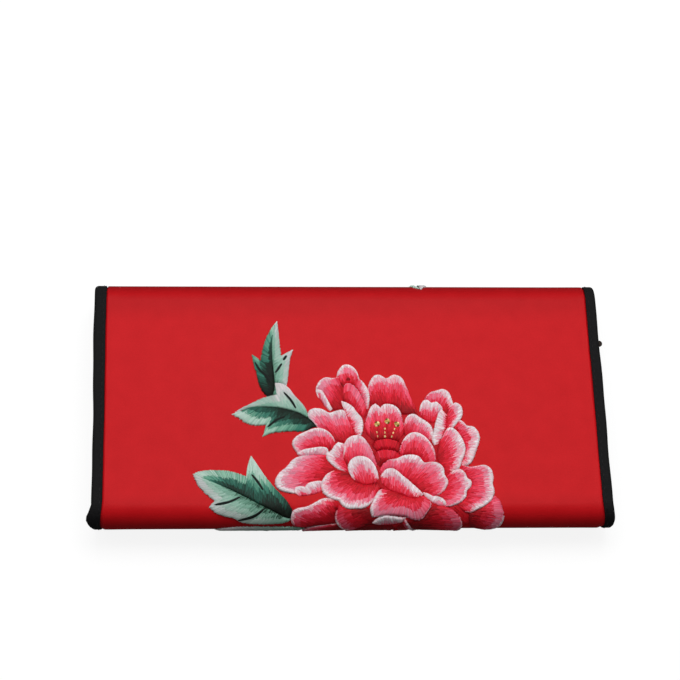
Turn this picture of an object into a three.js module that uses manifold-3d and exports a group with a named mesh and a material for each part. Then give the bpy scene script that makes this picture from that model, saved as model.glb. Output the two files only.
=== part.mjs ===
// An embroidered cloth purse, folded in three and lying on its back flap.
// One padded strip of red satin makes the face, the flap that turns under at the back crease,
// and the inner panel that turns under at the front crease. Black tape binds its four edges,
// and a peony with its leaves is sewn on as raised patches of stitching.
// Millimetres. +X runs across the purse, +Y from the front crease to the back crease, +Z up.
// The origin is in the middle of the underside.
import * as THREE from "three";
import { mergeVertices } from "three/addons/utils/BufferGeometryUtils.js";
import Module from "manifold-3d";

const wasm = await Module();
wasm.setup();

// Driving sizes
const closedWidth = 195; // across the two bound sides
const closedDepth = 101; // from crease to crease, over the tape
const wall = 2.8; // satin, padding and lining together
const frontFold = 6.8; // radius of the satin round the front crease
const backFold = 9; // radius of the satin round the back crease
const faceCrown = 0.8; // rise of the face in its middle
const flapShort = 4.5; // the flap stops this far short of the front crease
const innerShort = 8; // the inner panel stops this far short of the back crease

const tapeFace = 4.1; // width of tape seen on a face
const tapeThick = 0.8;
const tapeNose = 1.1; // rounding of the tape's outer edge
const noseCorner = 0.3; // share of the rounding kept at its middle point
const sewnPress = 0.5; // how far the tape presses each side of the wall in
const pressRun = 1; // length of the slope beside the tape
const seamGap = 0.3; // clearance between any two pieces
const leftFlare = 1.8; // bulge of the left tape where it turns the front crease
const rightFlare = 0.5; // the same on the right
const flareRun = 0.87; // share of the front crease that the bulge takes

const pocketThick = 3.6;
const pocketFrontGap = 2.6; // from the start of the front crease to the pocket
const pocketRound = 1.4;
const zipTapeWidth = 8;
const zipTapeThick = 0.8;
const coilWidth = 4.4;
const coilHigh = 0.6;
const zipFromBack = 16.2; // from the start of the back crease to the middle of the zip
const sliderLength = 9;
const sliderWidth = 6;
const sliderHigh = 1.2;
const sliderInset = 7; // from the slider to the outer edge of the tape
const tabWidth = 2.6;
const tabThick = 1.1;
const tabReach = 1.8; // how far the tab sticks out past the tape
const tabOverlap = 0.4; // share of the slider's length that the tab is joined to
const softEdge = 0.4; // rounding of the slider and the tab, as a share of their thickness

const snapRadius = 6;
const snapThick = 0.9;
const snapFromFlapEnd = 16;
const snapSides = 20;

// The embroidery's drawing square. The tables below give points in hundredths of its side:
// the first number across from the purse's middle, the second back from the front crease.
const drawingSide = 100;
const rimRelief = 0.95; // height of a petal at its outer rim
const footRelief = 0.5; // height where it goes under its neighbour
const leafRelief = 0.7;
const cornerAngle = 1.05; // a sharper turn than this, in radians, stays a corner
const outlineStep = 3; // longest side of an outline
const coverSpan = [-1, 2]; // heights between which a patch cuts those under it, in patch heights

// Places that follow from the sizes
const tapeProud = tapeThick + seamGap - sewnPress;
const faceZ = tapeProud + 2 * backFold;
const innerZ = faceZ - 2 * frontFold;
const frontY = -(closedDepth / 2 - tapeProud - frontFold);
const backY = closedDepth / 2 - tapeProud - backFold;
const faceRun = backY - frontY;
const frontTurn = Math.PI * frontFold;
const backTurn = Math.PI * backFold;
const flapEnd = faceRun + backTurn + faceRun - flapShort;
const innerEnd = -(frontTurn + faceRun - innerShort);
const wallEdge = closedWidth / 2 - tapeThick - seamGap;
const tapeInner = closedWidth / 2 - tapeFace;

// The strip: s runs along the satin from the front crease, and h stands off the satin.
function along(s) {
  if (s < -frontTurn) return { y: frontY - (s + frontTurn), z: innerZ, ny: 0, nz: -1 };
  if (s < 0) return turned(frontY, faceZ - frontFold, frontFold, s / frontFold);
  if (s <= faceRun) return { y: frontY + s, z: faceZ, ny: 0, nz: 1 };
  if (s < faceRun + backTurn) return turned(backY, faceZ - backFold, backFold, (s - faceRun) / backFold);
  return { y: backY - (s - faceRun - backTurn), z: tapeProud, ny: 0, nz: -1 };
}

function turned(y, z, radius, angle) {
  const ny = Math.sin(angle);
  const nz = Math.cos(angle);
  return { y: y + radius * ny, z: z + radius * nz, ny, nz };
}

// The face rises a little towards its middle, and the tape keeps the edges flat.
function crown(x, s) {
  const across = Math.max(0, 1 - (x / tapeInner) ** 2);
  const lengthwise = s > 0 && s < faceRun ? Math.sin((Math.PI * s) / faceRun) ** 2 : 0;
  return faceCrown * across * lengthwise;
}

function onStrip(x, s, h) {
  const p = along(s);
  const lift = h + crown(x, s);
  return [x, p.y + lift * p.ny, p.z + lift * p.nz];
}

function steps(from, to, count) {
  return Array.from({ length: count + 1 }, (_, i) => from + ((to - from) * i) / count);
}

// Stations along the strip, from the inner panel's end to the flap's end
const stations = [
  ...steps(innerEnd, -frontTurn, 2),
  ...steps(-frontTurn, 0, 9).slice(1),
  ...steps(0, faceRun, 6).slice(1),
  ...steps(faceRun, faceRun + backTurn, 9).slice(1),
  ...steps(faceRun + backTurn, flapEnd, 2).slice(1),
];

// Geometry helpers
function solid(positions, triangles) {
  const geometry = new THREE.BufferGeometry();
  geometry.setAttribute("position", new THREE.Float32BufferAttribute(positions.flat(), 3));
  geometry.setIndex(triangles.flat());
  return facingOut(geometry);
}

function facingOut(geometry) {
  const p = geometry.getAttribute("position");
  const index = geometry.getIndex();
  const [a, b, c] = [new THREE.Vector3(), new THREE.Vector3(), new THREE.Vector3()];
  let volume = 0;
  for (let i = 0; i < index.count; i += 3) {
    a.fromBufferAttribute(p, index.getX(i));
    b.fromBufferAttribute(p, index.getX(i + 1));
    c.fromBufferAttribute(p, index.getX(i + 2));
    volume += a.dot(b.cross(c));
  }
  if (volume < 0) {
    for (let i = 0; i < index.count; i += 3) {
      const first = index.getX(i);
      index.setX(i, index.getX(i + 1));
      index.setX(i + 1, first);
    }
  }
  return geometry;
}

// Sweeps a section, drawn anticlockwise, through rings of equal length and caps both ends.
function sweep(rings, cap) {
  const count = rings[0].length;
  const caps = THREE.ShapeUtils.triangulateShape(cap.map(([a, b]) => new THREE.Vector2(a, b)), []);
  const triangles = [];
  for (let r = 0; r + 1 < rings.length; r++) {
    for (let i = 0; i < count; i++) {
      const j = (i + 1) % count;
      const [a, b, c, d] = [r * count + i, r * count + j, (r + 1) * count + j, (r + 1) * count + i];
      triangles.push([a, b, c], [a, c, d]);
    }
  }
  const last = (rings.length - 1) * count;
  for (const [a, b, c] of caps) {
    triangles.push([c, b, a], [last + a, last + b, last + c]);
  }
  return solid(rings.flat(), triangles);
}

// A closed slab between two nets of points with the same rows and columns
function slab(outside, inside) {
  const [rows, columns] = [outside.length, outside[0].length];
  const under = rows * columns;
  const triangles = [];
  const quad = (a, b, c, d) => triangles.push([a, b, c], [a, c, d]);
  for (let r = 0; r + 1 < rows; r++) {
    for (let c = 0; c + 1 < columns; c++) {
      const a = r * columns + c;
      quad(a, a + 1, a + columns + 1, a + columns);
      quad(under + a + columns, under + a + columns + 1, under + a + 1, under + a);
    }
    const [left, right] = [r * columns, (r + 1) * columns - 1];
    quad(left, left + columns, under + left + columns, under + left);
    quad(right + columns, right, under + right, under + right + columns);
  }
  for (let c = 0; c + 1 < columns; c++) {
    const last = (rows - 1) * columns + c;
    quad(c + 1, c, under + c, under + c + 1);
    quad(last, last + 1, under + last + 1, under + last);
  }
  return solid([...outside.flat(), ...inside.flat()], triangles);
}

function toManifold(geometry) {
  const bare = geometry.clone();
  bare.deleteAttribute("normal");
  bare.deleteAttribute("uv");
  const merged = mergeVertices(bare, 1e-4);
  return new wasm.Manifold(
    new wasm.Mesh({
      numProp: 3,
      vertProperties: new Float32Array(merged.getAttribute("position").array),
      triVerts: new Uint32Array(merged.getIndex().array),
    }),
  );
}

function largest(body) {
  return body.decompose().reduce((best, one) => (one.volume() > best.volume() ? one : best));
}

// The padded wall is pressed thinner where tape holds it, along both sides and at both free ends.
const sewnRun = tapeFace - tapeThick;

function wallDepth(x, s) {
  const fromTape = Math.min(wallEdge - Math.abs(x), flapEnd - s, s - innerEnd) - sewnRun;
  return sewnPress * (1 - THREE.MathUtils.clamp(fromTape / pressRun, 0, 1));
}

function satinShell() {
  const flat = wallEdge - sewnRun;
  const across = [-wallEdge, -flat, ...steps(pressRun - flat, flat - pressRun, 8), flat, wallEdge];
  const runs = [
    innerEnd,
    innerEnd + sewnRun,
    innerEnd + sewnRun + pressRun,
    ...stations.slice(1, -1),
    flapEnd - sewnRun - pressRun,
    flapEnd - sewnRun,
    flapEnd,
  ];
  const outside = runs.map((s) => across.map((x) => onStrip(x, s, -wallDepth(x, s))));
  const inside = runs.map((s) => across.map((x) => onStrip(x, s, wallDepth(x, s) - wall)));
  return slab(outside, inside);
}

// Tape folded over an edge. reach is the distance from the tape's inner edge outwards.
function tapeSection(outward) {
  const top = tapeProud;
  const bottom = -wall - tapeProud;
  const end = tapeFace + outward;
  const slot = tapeFace - tapeThick;
  const corner = tapeNose * noseCorner;
  return [
    [0, top - tapeThick],
    [slot, top - tapeThick],
    [slot, bottom + tapeThick],
    [0, bottom + tapeThick],
    [0, bottom],
    [end - tapeNose, bottom],
    [end - corner, bottom + corner],
    [end, bottom + tapeNose],
    [end, top - tapeNose],
    [end - corner, top - corner],
    [end - tapeNose, top],
    [0, top],
  ];
}

// How far the side tape bulges out at s, most of all low on the front crease
function flare(size, s) {
  const share = -s / frontTurn / flareRun;
  return share > 0 && share < 1 ? size * Math.sin(Math.PI * share) ** 2 : 0;
}

function sideTape(side, bulge) {
  const from = innerEnd - tapeThick - seamGap;
  const to = flapEnd + tapeThick + seamGap;
  const runs = [from, ...stations.slice(1, -1), to];
  const rings = runs.map((s) =>
    tapeSection(flare(bulge, s)).map(([reach, h]) => onStrip(side * (tapeInner + reach), s, h)),
  );
  return sweep(rings, tapeSection(0));
}

function endTape(end, away) {
  const half = tapeInner - seamGap;
  const start = end - away * (tapeFace - tapeThick - seamGap);
  const rings = steps(-half, half, 2).map((x) =>
    tapeSection(0).map(([reach, h]) => onStrip(x, start + away * reach, h)),
  );
  return sweep(rings, tapeSection(0));
}

// What lies between the face and the inner panel
const pocketBottom = innerZ + wall + seamGap;
const pocketTop = pocketBottom + pocketThick;
const zipY = backY - zipFromBack;

function roundedBox(width, depth, height, round) {
  const shape = new THREE.Shape();
  const [y, z] = [depth / 2, height / 2];
  shape.moveTo(-y + round, -z);
  shape.lineTo(y - round, -z);
  shape.absarc(y - round, -z + round, round, -Math.PI / 2, 0);
  shape.lineTo(y, z - round);
  shape.absarc(y - round, z - round, round, 0, Math.PI / 2);
  shape.lineTo(-y + round, z);
  shape.absarc(-y + round, z - round, round, Math.PI / 2, Math.PI);
  shape.lineTo(-y, -z + round);
  shape.absarc(-y + round, -z + round, round, Math.PI, Math.PI * 1.5);
  const body = new THREE.ExtrudeGeometry(shape, { depth: width, bevelEnabled: false, curveSegments: 3 });
  body.translate(0, 0, -width / 2);
  body.rotateY(Math.PI / 2);
  body.rotateX(Math.PI / 2);
  return body;
}

function innerPocket() {
  const front = frontY + pocketFrontGap;
  const back = backY - innerShort - tapeFace;
  const width = 2 * (tapeInner - seamGap);
  const body = roundedBox(width, back - front, pocketThick, pocketRound);
  return body.translate(0, (front + back) / 2, (pocketBottom + pocketTop) / 2);
}

function zipTape() {
  const half = zipTapeWidth / 2;
  const rise = zipTapeThick + coilHigh;
  const shape = new THREE.Shape();
  shape.moveTo(-half, 0);
  shape.lineTo(half, 0);
  shape.lineTo(half, zipTapeThick);
  shape.lineTo(coilWidth / 2, zipTapeThick);
  shape.lineTo(coilWidth / 4, rise);
  shape.lineTo(-coilWidth / 4, rise);
  shape.lineTo(-coilWidth / 2, zipTapeThick);
  shape.lineTo(-half, zipTapeThick);
  const length = 2 * (tapeInner - seamGap);
  const body = new THREE.ExtrudeGeometry(shape, { depth: length, bevelEnabled: false });
  body.translate(0, 0, -length / 2);
  body.rotateY(Math.PI / 2);
  body.rotateX(Math.PI / 2);
  return body.translate(0, zipY, pocketTop + seamGap);
}

// The slider with its pull tab, whose tip sticks out between the bound edges
function zipPull() {
  const sliderZ = pocketTop + seamGap + zipTapeThick + coilHigh + seamGap;
  const slider = closedWidth / 2 - sliderInset - sliderLength;
  const tip = closedWidth / 2 + tabReach;
  const tabStart = slider + sliderLength * (1 - tabOverlap);
  const plate = roundedBox(sliderLength, sliderWidth, sliderHigh, sliderHigh * softEdge);
  plate.translate(slider + sliderLength / 2, zipY, sliderZ + sliderHigh / 2);
  const tab = roundedBox(tip - tabStart, tabWidth, tabThick, tabThick * softEdge);
  tab.translate((tip + tabStart) / 2, zipY, sliderZ + tabThick / 2);
  return fromManifold(toManifold(plate).add(toManifold(tab)));
}

function fromManifold(body) {
  const mesh = body.getMesh();
  const geometry = new THREE.BufferGeometry();
  geometry.setAttribute("position", new THREE.BufferAttribute(mesh.vertProperties, 3));
  geometry.setIndex(new THREE.BufferAttribute(mesh.triVerts, 1));
  return geometry;
}

// A hidden press stud between the flap and the inner panel
function pressStud() {
  const low = tapeProud + wall;
  const body = new THREE.CylinderGeometry(snapRadius, snapRadius, snapThick, snapSides);
  body.rotateX(Math.PI / 2);
  const y = backY - (faceRun - flapShort) + snapFromFlapEnd;
  return body.translate(0, y, (low + innerZ) / 2);
}

// Petals from the back of the flower to its front: rim is the outer edge, and foot the
// edge that goes under a neighbour. Both run the same way round the petal.
const petals = [
  {
    name: "petal_crown",
    rim: [[7, 44], [7.1, 48.5], [9, 52.2], [11.4, 52.8], [13.9, 51.3], [16.8, 52.9], [19.8, 51.5],
      [21.2, 48], [22.8, 43.8], [24.6, 39]],
    foot: [[25.6, 35.6], [13, 37], [8, 38]],
  },
  {
    name: "petal_crest_tip",
    rim: [[-5.2, 51.5], [-4.4, 54.6], [-2.6, 56.9], [-0.6, 57.2], [1.2, 56.3], [2.8, 54], [3.5, 51.2]],
    foot: [[1.5, 47.5], [-2.5, 47.5]],
  },
  {
    name: "petal_crest_left",
    rim: [[-4.6, 51.8], [-7, 51.4], [-9.6, 51.7], [-12, 49.8], [-13.1, 46.8], [-12.4, 43.5]],
    foot: [[-8, 38], [-3, 37.6], [-2, 44]],
  },
  {
    name: "petal_crest_right",
    rim: [[2.6, 51.3], [4.2, 50.6], [5.8, 48.4], [7, 45.8], [7.3, 42.5], [6.6, 38.5]],
    foot: [[3, 38], [1, 44]],
  },
  {
    name: "petal_crest_middle",
    rim: [[-2.8, 47], [-1.6, 49], [0.4, 49], [2.4, 47], [4.4, 43.8], [5.6, 40.5], [6, 36.5]],
    foot: [[4, 33], [0, 35.5], [-3, 40]],
  },
  {
    name: "petal_crest_curl",
    rim: [[-12.8, 46.6], [-10.9, 46.2], [-9.6, 43.8], [-8.2, 41], [-7, 38.4]],
    foot: [[-8, 37.6], [-9.8, 39.6], [-12, 43.4]],
  },
  {
    name: "petal_outer_right",
    rim: [[39.5, 34], [42, 33.6], [44.2, 31.4], [46.4, 31.1], [48.2, 29], [48.7, 26.2], [47.8, 23],
      [46.8, 20.4], [45.6, 17.2], [43.8, 15.3], [41.6, 15]],
    foot: [[40.2, 18], [40.8, 24], [38, 31]],
  },
  {
    name: "petal_right_crest",
    rim: [[28.4, 43], [30.6, 45.4], [33.2, 46.2], [35.8, 46.8], [37.8, 45.2], [38.6, 42.6],
      [39.2, 40]],
    foot: [[37, 36], [33, 37.5], [29, 39]],
  },
  {
    name: "petal_right_side",
    rim: [[38.4, 39.8], [40.2, 41.2], [42, 40], [42.7, 37.6], [42.1, 34.9], [40.6, 33], [38.6, 30.5]],
    foot: [[36, 30], [36.4, 36]],
  },
  {
    name: "petal_right_front",
    rim: [[26.2, 37.4], [26.7, 40], [27.8, 41.9], [29.4, 42.2], [30.9, 41], [32.6, 41.5], [34.5, 39.8],
      [35, 37.6]],
    foot: [[32.5, 32.5], [29, 33], [26.5, 35.6]],
  },
  {
    name: "petal_low_outer",
    rim: [[52, 3.5], [54.6, 1.6], [56, -2], [56.5, -5.6], [55.2, -8.8], [52.4, -10.8], [49.4, -11.6]],
    foot: [[44, -10], [43.5, -3.5], [49, 0.5]],
  },
  {
    name: "petal_low_right",
    rim: [[41.2, 15.4], [44.4, 14.5], [47.2, 14.8], [50.2, 15.2], [52.4, 13.6], [53.1, 10.6],
      [52.7, 7.6], [53.2, 4.6], [52, 1.2], [49.4, -1], [46.6, -2.4], [43.8, -3.5], [41.2, -3]],
    foot: [[38, 0], [39, 8], [39.5, 13]],
  },
  {
    name: "petal_right_big",
    rim: [[34, 25.5], [36.6, 30.2], [38.8, 30.4], [41.2, 27.8], [42.9, 23.6], [42.9, 20.6],
      [41.4, 16.8], [40.2, 13.8], [38, 11.5]],
    foot: [[33, 13], [32, 18], [32.4, 22]],
  },
  {
    name: "petal_inner_right",
    rim: [[20.2, 31.5], [20.9, 34.4], [22.2, 36], [24.2, 36.3], [26.3, 34.8], [28.6, 33.2],
      [30.3, 31.4], [31, 28.8], [30.6, 26]],
    foot: [[28, 24], [21.5, 25], [19.8, 28.5]],
  },
  {
    name: "petal_blade",
    rim: [[31.2, 23.2], [30.4, 25.4], [31.2, 29.6], [32.2, 33.6], [33.4, 37], [34.6, 38]],
    foot: [[36.8, 35.6], [36, 31], [34.6, 27.2], [32.8, 24.2]],
  },
  {
    name: "petal_left_upper",
    rim: [[-12.6, 30.8], [-14.6, 33.4], [-16.4, 35.6], [-15.8, 37.9], [-13.6, 38.7], [-11, 38.3],
      [-8.4, 36.8], [-5.8, 37.6], [-3, 38], [0.5, 36], [2.5, 31]],
    foot: [[2, 26], [-3, 24.5], [-8, 26.5]],
  },
  {
    name: "petal_left_curl",
    rim: [[-3.6, 41.8], [-1.4, 41], [0.8, 39.4], [2.2, 37.2], [4.1, 34.6], [4.6, 31.8], [4.2, 28.8],
      [3.4, 27.2]],
    foot: [[1.8, 27.6], [0.4, 30.4], [-1.6, 35], [-3, 39.2]],
  },
  {
    name: "petal_heart",
    rim: [[5.6, 28.5], [5.1, 32], [6.4, 36.2], [7.6, 39.2], [9.3, 40.7], [10.8, 39.4], [11.4, 38.7],
      [12.4, 40.2], [14.6, 40.5], [17, 39.6], [18.6, 37.6], [19.2, 35], [19.9, 31.5], [19.7, 27.8]],
    foot: [[17.5, 24.5], [12.5, 24], [8, 25]],
  },
  {
    name: "petal_heart_base",
    rim: [[7.6, 22.6], [8.8, 25.2], [11, 25.9], [13.2, 26.2], [15.6, 25.8], [17.8, 24.8],
      [18.8, 22.2]],
    foot: [[17, 20], [10, 20]],
  },
  {
    name: "petal_heart_lip",
    rim: [[7.8, 18.5], [9.2, 20.8], [12.2, 21.8], [15.4, 21.4], [18, 20.3], [19, 18.8]],
    foot: [[16, 16], [10, 14.5]],
  },
  {
    name: "petal_inner_low",
    rim: [[17.8, 19.4], [18.4, 23], [20.2, 26.6], [22.6, 28.5], [25, 28.7], [27.2, 27.5], [29.2, 25.4],
      [30.8, 22.6], [31.5, 19.4], [31.4, 15.5]],
    foot: [[27, 14], [22, 17], [19, 18.2]],
  },
  {
    name: "petal_ear",
    rim: [[-20, 20], [-21.8, 22], [-22.5, 24.8], [-20.8, 27.2], [-17.6, 29], [-14.4, 30.3],
      [-11.4, 30.4], [-8.8, 29], [-6.9, 26.5], [-6, 23.5]],
    foot: [[-8, 21.5], [-14, 21]],
  },
  {
    name: "petal_wing",
    rim: [[-9.6, 20.5], [-15, 20.4], [-19.6, 19], [-22.6, 17.4], [-25, 14.4], [-27.6, 12.2],
      [-29.2, 8.8], [-28.2, 6], [-25.6, 4.7], [-22, 4.2], [-17, 5.5]],
    foot: [[-11, 8], [-7, 12.5], [-8, 17]],
  },
  {
    name: "petal_ear_lip",
    rim: [[-20.8, 20.2], [-18.4, 21.7], [-15, 22.4], [-11.6, 22.8], [-9.4, 22.3], [-8.8, 20.6]],
    foot: [[-9.8, 19.4], [-13, 19.6], [-17, 19.2], [-20, 19.2]],
  },
  {
    name: "petal_wing_curl",
    rim: [[-22.2, 4.4], [-21.6, 6.3], [-19.8, 6.9], [-18, 6.6], [-16.8, 8.1], [-14.2, 8.9],
      [-11.6, 9]],
    foot: [[-10.6, 6.5], [-12.4, 4.6], [-16, 3.5], [-20, 3]],
  },
  {
    name: "petal_left_side",
    rim: [[-2, 24], [-3.6, 24.2], [-5.2, 24.7], [-6.8, 23.2], [-7.8, 21.5], [-9.4, 20], [-9.8, 18.2],
      [-8.2, 16], [-5.8, 14], [-3, 12.9]],
    foot: [[-0.5, 12.6], [-0.5, 18]],
  },
  {
    name: "petal_left_middle",
    rim: [[-3.4, 18.5], [-2.9, 22], [-2.4, 24.8], [-0.8, 26.8], [1.6, 27.6], [3.6, 27.2], [5.6, 25],
      [7.2, 22], [8.4, 18.8], [9.4, 15.2]],
    foot: [[7, 11], [1, 11.5], [-2, 15]],
  },
  {
    name: "petal_low_left",
    rim: [[-20.5, -9], [-22.8, -7.6], [-23.4, -5.2], [-22.8, -2.9], [-20.6, -1.8], [-17.4, -1.2],
      [-14.4, 0.3], [-12, 1.7], [-9.4, 2], [-7, 1]],
    foot: [[-5, -3], [-6.5, -9], [-13, -9.5]],
  },
  {
    name: "petal_under_left",
    rim: [[-6, -7.5], [-16, -9.2], [-19.2, -11.6], [-18.6, -15], [-14.8, -17.8], [-10, -18.4],
      [-6, -16.5]],
    foot: [[-2, -13], [-3, -8]],
  },
  {
    name: "petal_low_middle",
    rim: [[-5.6, -1], [-6.6, -3], [-7, -5.4], [-6, -8], [-4, -10.4], [-1, -12.2], [3, -13]],
    foot: [[7.5, -9], [7.5, -3], [0, 0]],
  },
  {
    name: "petal_under_middle",
    rim: [[-3, -13], [-1.6, -16.2], [2, -18.8], [7, -19.6], [12, -19], [15, -16], [16, -12]],
    foot: [[14, -7.5], [5, -8.4]],
  },
  {
    name: "petal_under_right",
    rim: [[15, -12.4], [16.4, -16.6], [20.4, -19.2], [26, -19.6], [31.4, -17.6], [34.4, -14.4]],
    foot: [[28, -7], [18, -6.6]],
  },
  {
    name: "petal_low_front",
    rim: [[34, -1], [37, -2.4], [39.4, -4.4], [40.8, -7.4], [40.6, -10.6], [38.8, -13.6],
      [35.4, -15.6]],
    foot: [[26, -14], [22, -8], [26, -2]],
  },
  {
    name: "petal_right_low",
    rim: [[36.8, 12], [39, 13.2], [41, 13.5], [42.6, 11.8], [43.2, 10], [44.6, 8.8], [44.4, 6.6],
      [42.9, 5], [42.4, 2.6], [40.8, 0.6], [38.2, -0.7], [35.4, -1.4], [32.5, -0.8]],
    foot: [[30, 2], [33, 8]],
  },
  {
    name: "petal_front_big",
    rim: [[10, 13], [11.2, 15.6], [13.6, 17.4], [16.8, 18], [19.4, 19.2], [22.4, 19.6], [25.2, 18.9],
      [27.2, 16.4], [30, 16.6], [32.6, 16.1], [34.4, 14.2], [34.7, 11.4], [35.9, 8.8], [34.8, 5.8],
      [32.6, 3.6], [29.6, 2.6]],
    foot: [[25, 3], [19, 6], [12.5, 8.5]],
  },
  {
    name: "petal_front_left",
    rim: [[-7.4, 13], [-10.2, 11.2], [-11.8, 8.2], [-11.7, 5], [-9.6, 2.4], [-7.2, 1.3], [-5.6, 1],
      [-4.4, -0.9], [-2.2, -2.1], [0.6, -2.1], [3.4, -2], [6, -0.6], [8.6, 2.6], [11.5, 5.5]],
    foot: [[9, 8.5], [2, 9.5], [-1.5, 12]],
  },
  {
    name: "petal_bottom",
    rim: [[12.6, 5.2], [10.4, 5.5], [8.6, 3.6], [7.3, 0.6], [6.1, -2.2], [6.8, -5], [10.5, -4.8],
      [15, -4.6], [19.4, -5.1], [22.6, -6.3], [25.4, -6], [27.4, -3.8], [29.2, -0.6], [27.5, 2.5]],
    foot: [[23, 3.5], [16, 4.5]],
  },
  {
    name: "petal_bottom_lip",
    rim: [[19.6, -5.2], [16.6, -5], [13.8, -4.6], [11, -4.6], [8.6, -5.7], [7, -7.2]],
    foot: [[9, -8.3], [12.5, -8.4], [16, -7.9], [19, -7]],
  },
  {
    name: "petal_tail",
    rim: [[19.2, -5.6], [20.8, -8], [22.6, -11.4], [24.6, -14.5]],
    foot: [[22.6, -14.8], [20.2, -11.4], [18.4, -7.8]],
  },
  {
    name: "petal_oval",
    rim: [[-0.5, 10.6], [-1.7, 14.2], [-1, 17], [0.8, 18.6], [3.4, 19.1], [6, 18.2], [8, 16],
      [9.2, 13], [9.7, 10]],
    foot: [[8, 7.9], [5, 7.4], [2, 8.2]],
  },
  {
    name: "petal_small_curl",
    rim: [[26.2, 4.4], [28, 3.8], [29.8, 2.8], [31.8, 2.6], [33.8, 1.6], [34.9, -0.3]],
    foot: [[33.4, -1.2], [31.2, -0.8], [29, 0.6], [26.8, 2.8]],
  },
  {
    name: "petal_front_curl",
    rim: [[10.6, 11], [12.4, 13.5], [14.8, 14.1], [16.8, 13.1], [19, 10.9], [21, 9.2], [23.4, 6.8],
      [25.2, 4.9], [26.4, 3.4]],
    foot: [[24.6, 2.4], [22, 2], [18, 3.6], [13.6, 5.2], [10.8, 7.6]],
  },
];

// Leaves: rib is the midrib from the tip to the stalk, and each edge runs the same way.
const leaves = [
  {
    name: "leaf_top",
    rib: [[-27.5, 75.4], [-29, 70.5], [-29.6, 64], [-29.4, 57], [-28.9, 51], [-28.8, 46.5], [-29.6, 43]],
    edges: [
      [[-27.5, 75.4], [-29.8, 72], [-31.8, 68], [-33.3, 63.6], [-34.2, 58], [-37.4, 60.8],
        [-36.8, 56.6], [-35.8, 52.6], [-34.8, 48], [-33.6, 45], [-32, 43]],
      [[-27.5, 75.4], [-26.9, 70], [-26.5, 65], [-26, 60.2], [-21.5, 63], [-22.7, 58.6], [-23.3, 53.6],
        [-23.7, 49.6], [-24.2, 47]],
    ],
  },
  {
    name: "leaf_middle",
    rib: [[-45.2, 35.6], [-42.4, 37.3], [-38, 38.5], [-33, 38.8], [-28, 38.4], [-23, 37.3],
      [-19, 35.8], [-15.5, 33.4], [-12.6, 30.9]],
    edges: [
      [[-45.2, 35.6], [-41.8, 38], [-37.6, 40.3], [-33.8, 42.4], [-30.6, 43.4], [-28, 44],
        [-28.8, 48.9], [-26, 48.5], [-23.6, 46.6], [-21.4, 43.4], [-19, 40.6], [-17.4, 38],
        [-16.6, 35.4]],
      [[-45.2, 35.6], [-42.6, 33.8], [-40, 31.9], [-37, 31], [-34.6, 31], [-32.2, 31.2], [-33.6, 26.4],
        [-31, 27.6], [-26.6, 28.3], [-22, 28.5], [-18.6, 28.4], [-15.4, 29.6], [-12.6, 30.9]],
    ],
  },
  {
    name: "leaf_low",
    rib: [[-60, 11.6], [-55, 9.2], [-50, 7], [-45, 4.6], [-40, 2], [-35, -0.8], [-30, -3.2],
      [-25.5, -5.4], [-22.8, -6]],
    edges: [
      [[-60, 11.6], [-56.6, 12.8], [-52, 13.1], [-47.4, 12.9], [-43.4, 12], [-39.7, 10.5], [-39.2, 15],
        [-38, 18.9], [-35.6, 15], [-32.8, 10.6], [-29.6, 6.4], [-26.4, 2.8], [-23, -2.2], [-22.8, -6]],
      [[-60, 11.6], [-58.4, 7.6], [-56, 4.4], [-53.6, 2], [-51.8, 0.6], [-54, -1.7], [-51.4, -3.8],
        [-48, -5.1], [-44.8, -5.8], [-41.4, -7.6], [-36, -8.2], [-30, -8.2], [-25.6, -7.6],
        [-22.8, -6]],
    ],
  },
  {
    name: "leaf_bottom",
    rib: [[-52, -11.6], [-44, -12.8], [-34, -13.4], [-24, -13], [-16.5, -11.4]],
    edges: [
      [[-52, -11.6], [-46, -9.9], [-38, -9.4], [-28, -9.5], [-21, -9.7], [-16.5, -11.4]],
      [[-52, -11.6], [-46, -15.6], [-38, -18.2], [-28, -18.6], [-21, -16.4], [-16.5, -11.4]],
    ],
  },
  {
    name: "leaf_back",
    rib: [[28.9, 90.3], [27, 94], [28.4, 98.6], [32.6, 101.8], [38, 103.8], [45, 104.6], [52, 103.6]],
    edges: [
      [[28.9, 90.3], [30.6, 92], [31.4, 94.4], [32, 97.6], [36, 99], [41.6, 97.8], [44.6, 100.6],
        [52, 103.6]],
      [[28.9, 90.3], [26.6, 91.8], [25.2, 94], [25, 98], [27.4, 102], [29, 106.6], [34, 105.6],
        [40, 107.8], [46.6, 107.2], [52, 103.6]],
    ],
  },
];

// Points along a curve through the given points, with sharp turns kept
function smoothed(points) {
  const at = points.map(([x, s]) => new THREE.Vector2(x, s).multiplyScalar(drawingSide / 100));
  const corners = at.map((p, i) => {
    if (i === 0 || i === at.length - 1) return true;
    const before = p.clone().sub(at[i - 1]);
    const after = at[i + 1].clone().sub(p);
    return Math.abs(Math.atan2(before.cross(after), before.dot(after))) > cornerAngle;
  });
  const line = [at[0]];
  let start = 0;
  for (let i = 1; i < at.length; i++) {
    if (!corners[i]) continue;
    const run = at.slice(start, i + 1);
    const curve = new THREE.SplineCurve(run);
    const count = Math.max(1, Math.round(curve.getLength() / outlineStep));
    line.push(...curve.getSpacedPoints(count).slice(1));
    start = i;
  }
  return line;
}

function grown(outline, by) {
  const turn = Math.sign(THREE.ShapeUtils.area(outline));
  return outline.map((p, i) => {
    const before = p.clone().sub(outline.at(i - 1)).normalize();
    const after = outline[(i + 1) % outline.length].clone().sub(p).normalize();
    const out = new THREE.Vector2(before.y + after.y, -before.x - after.x).normalize();
    return p.clone().addScaledVector(out, by * turn);
  });
}

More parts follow.
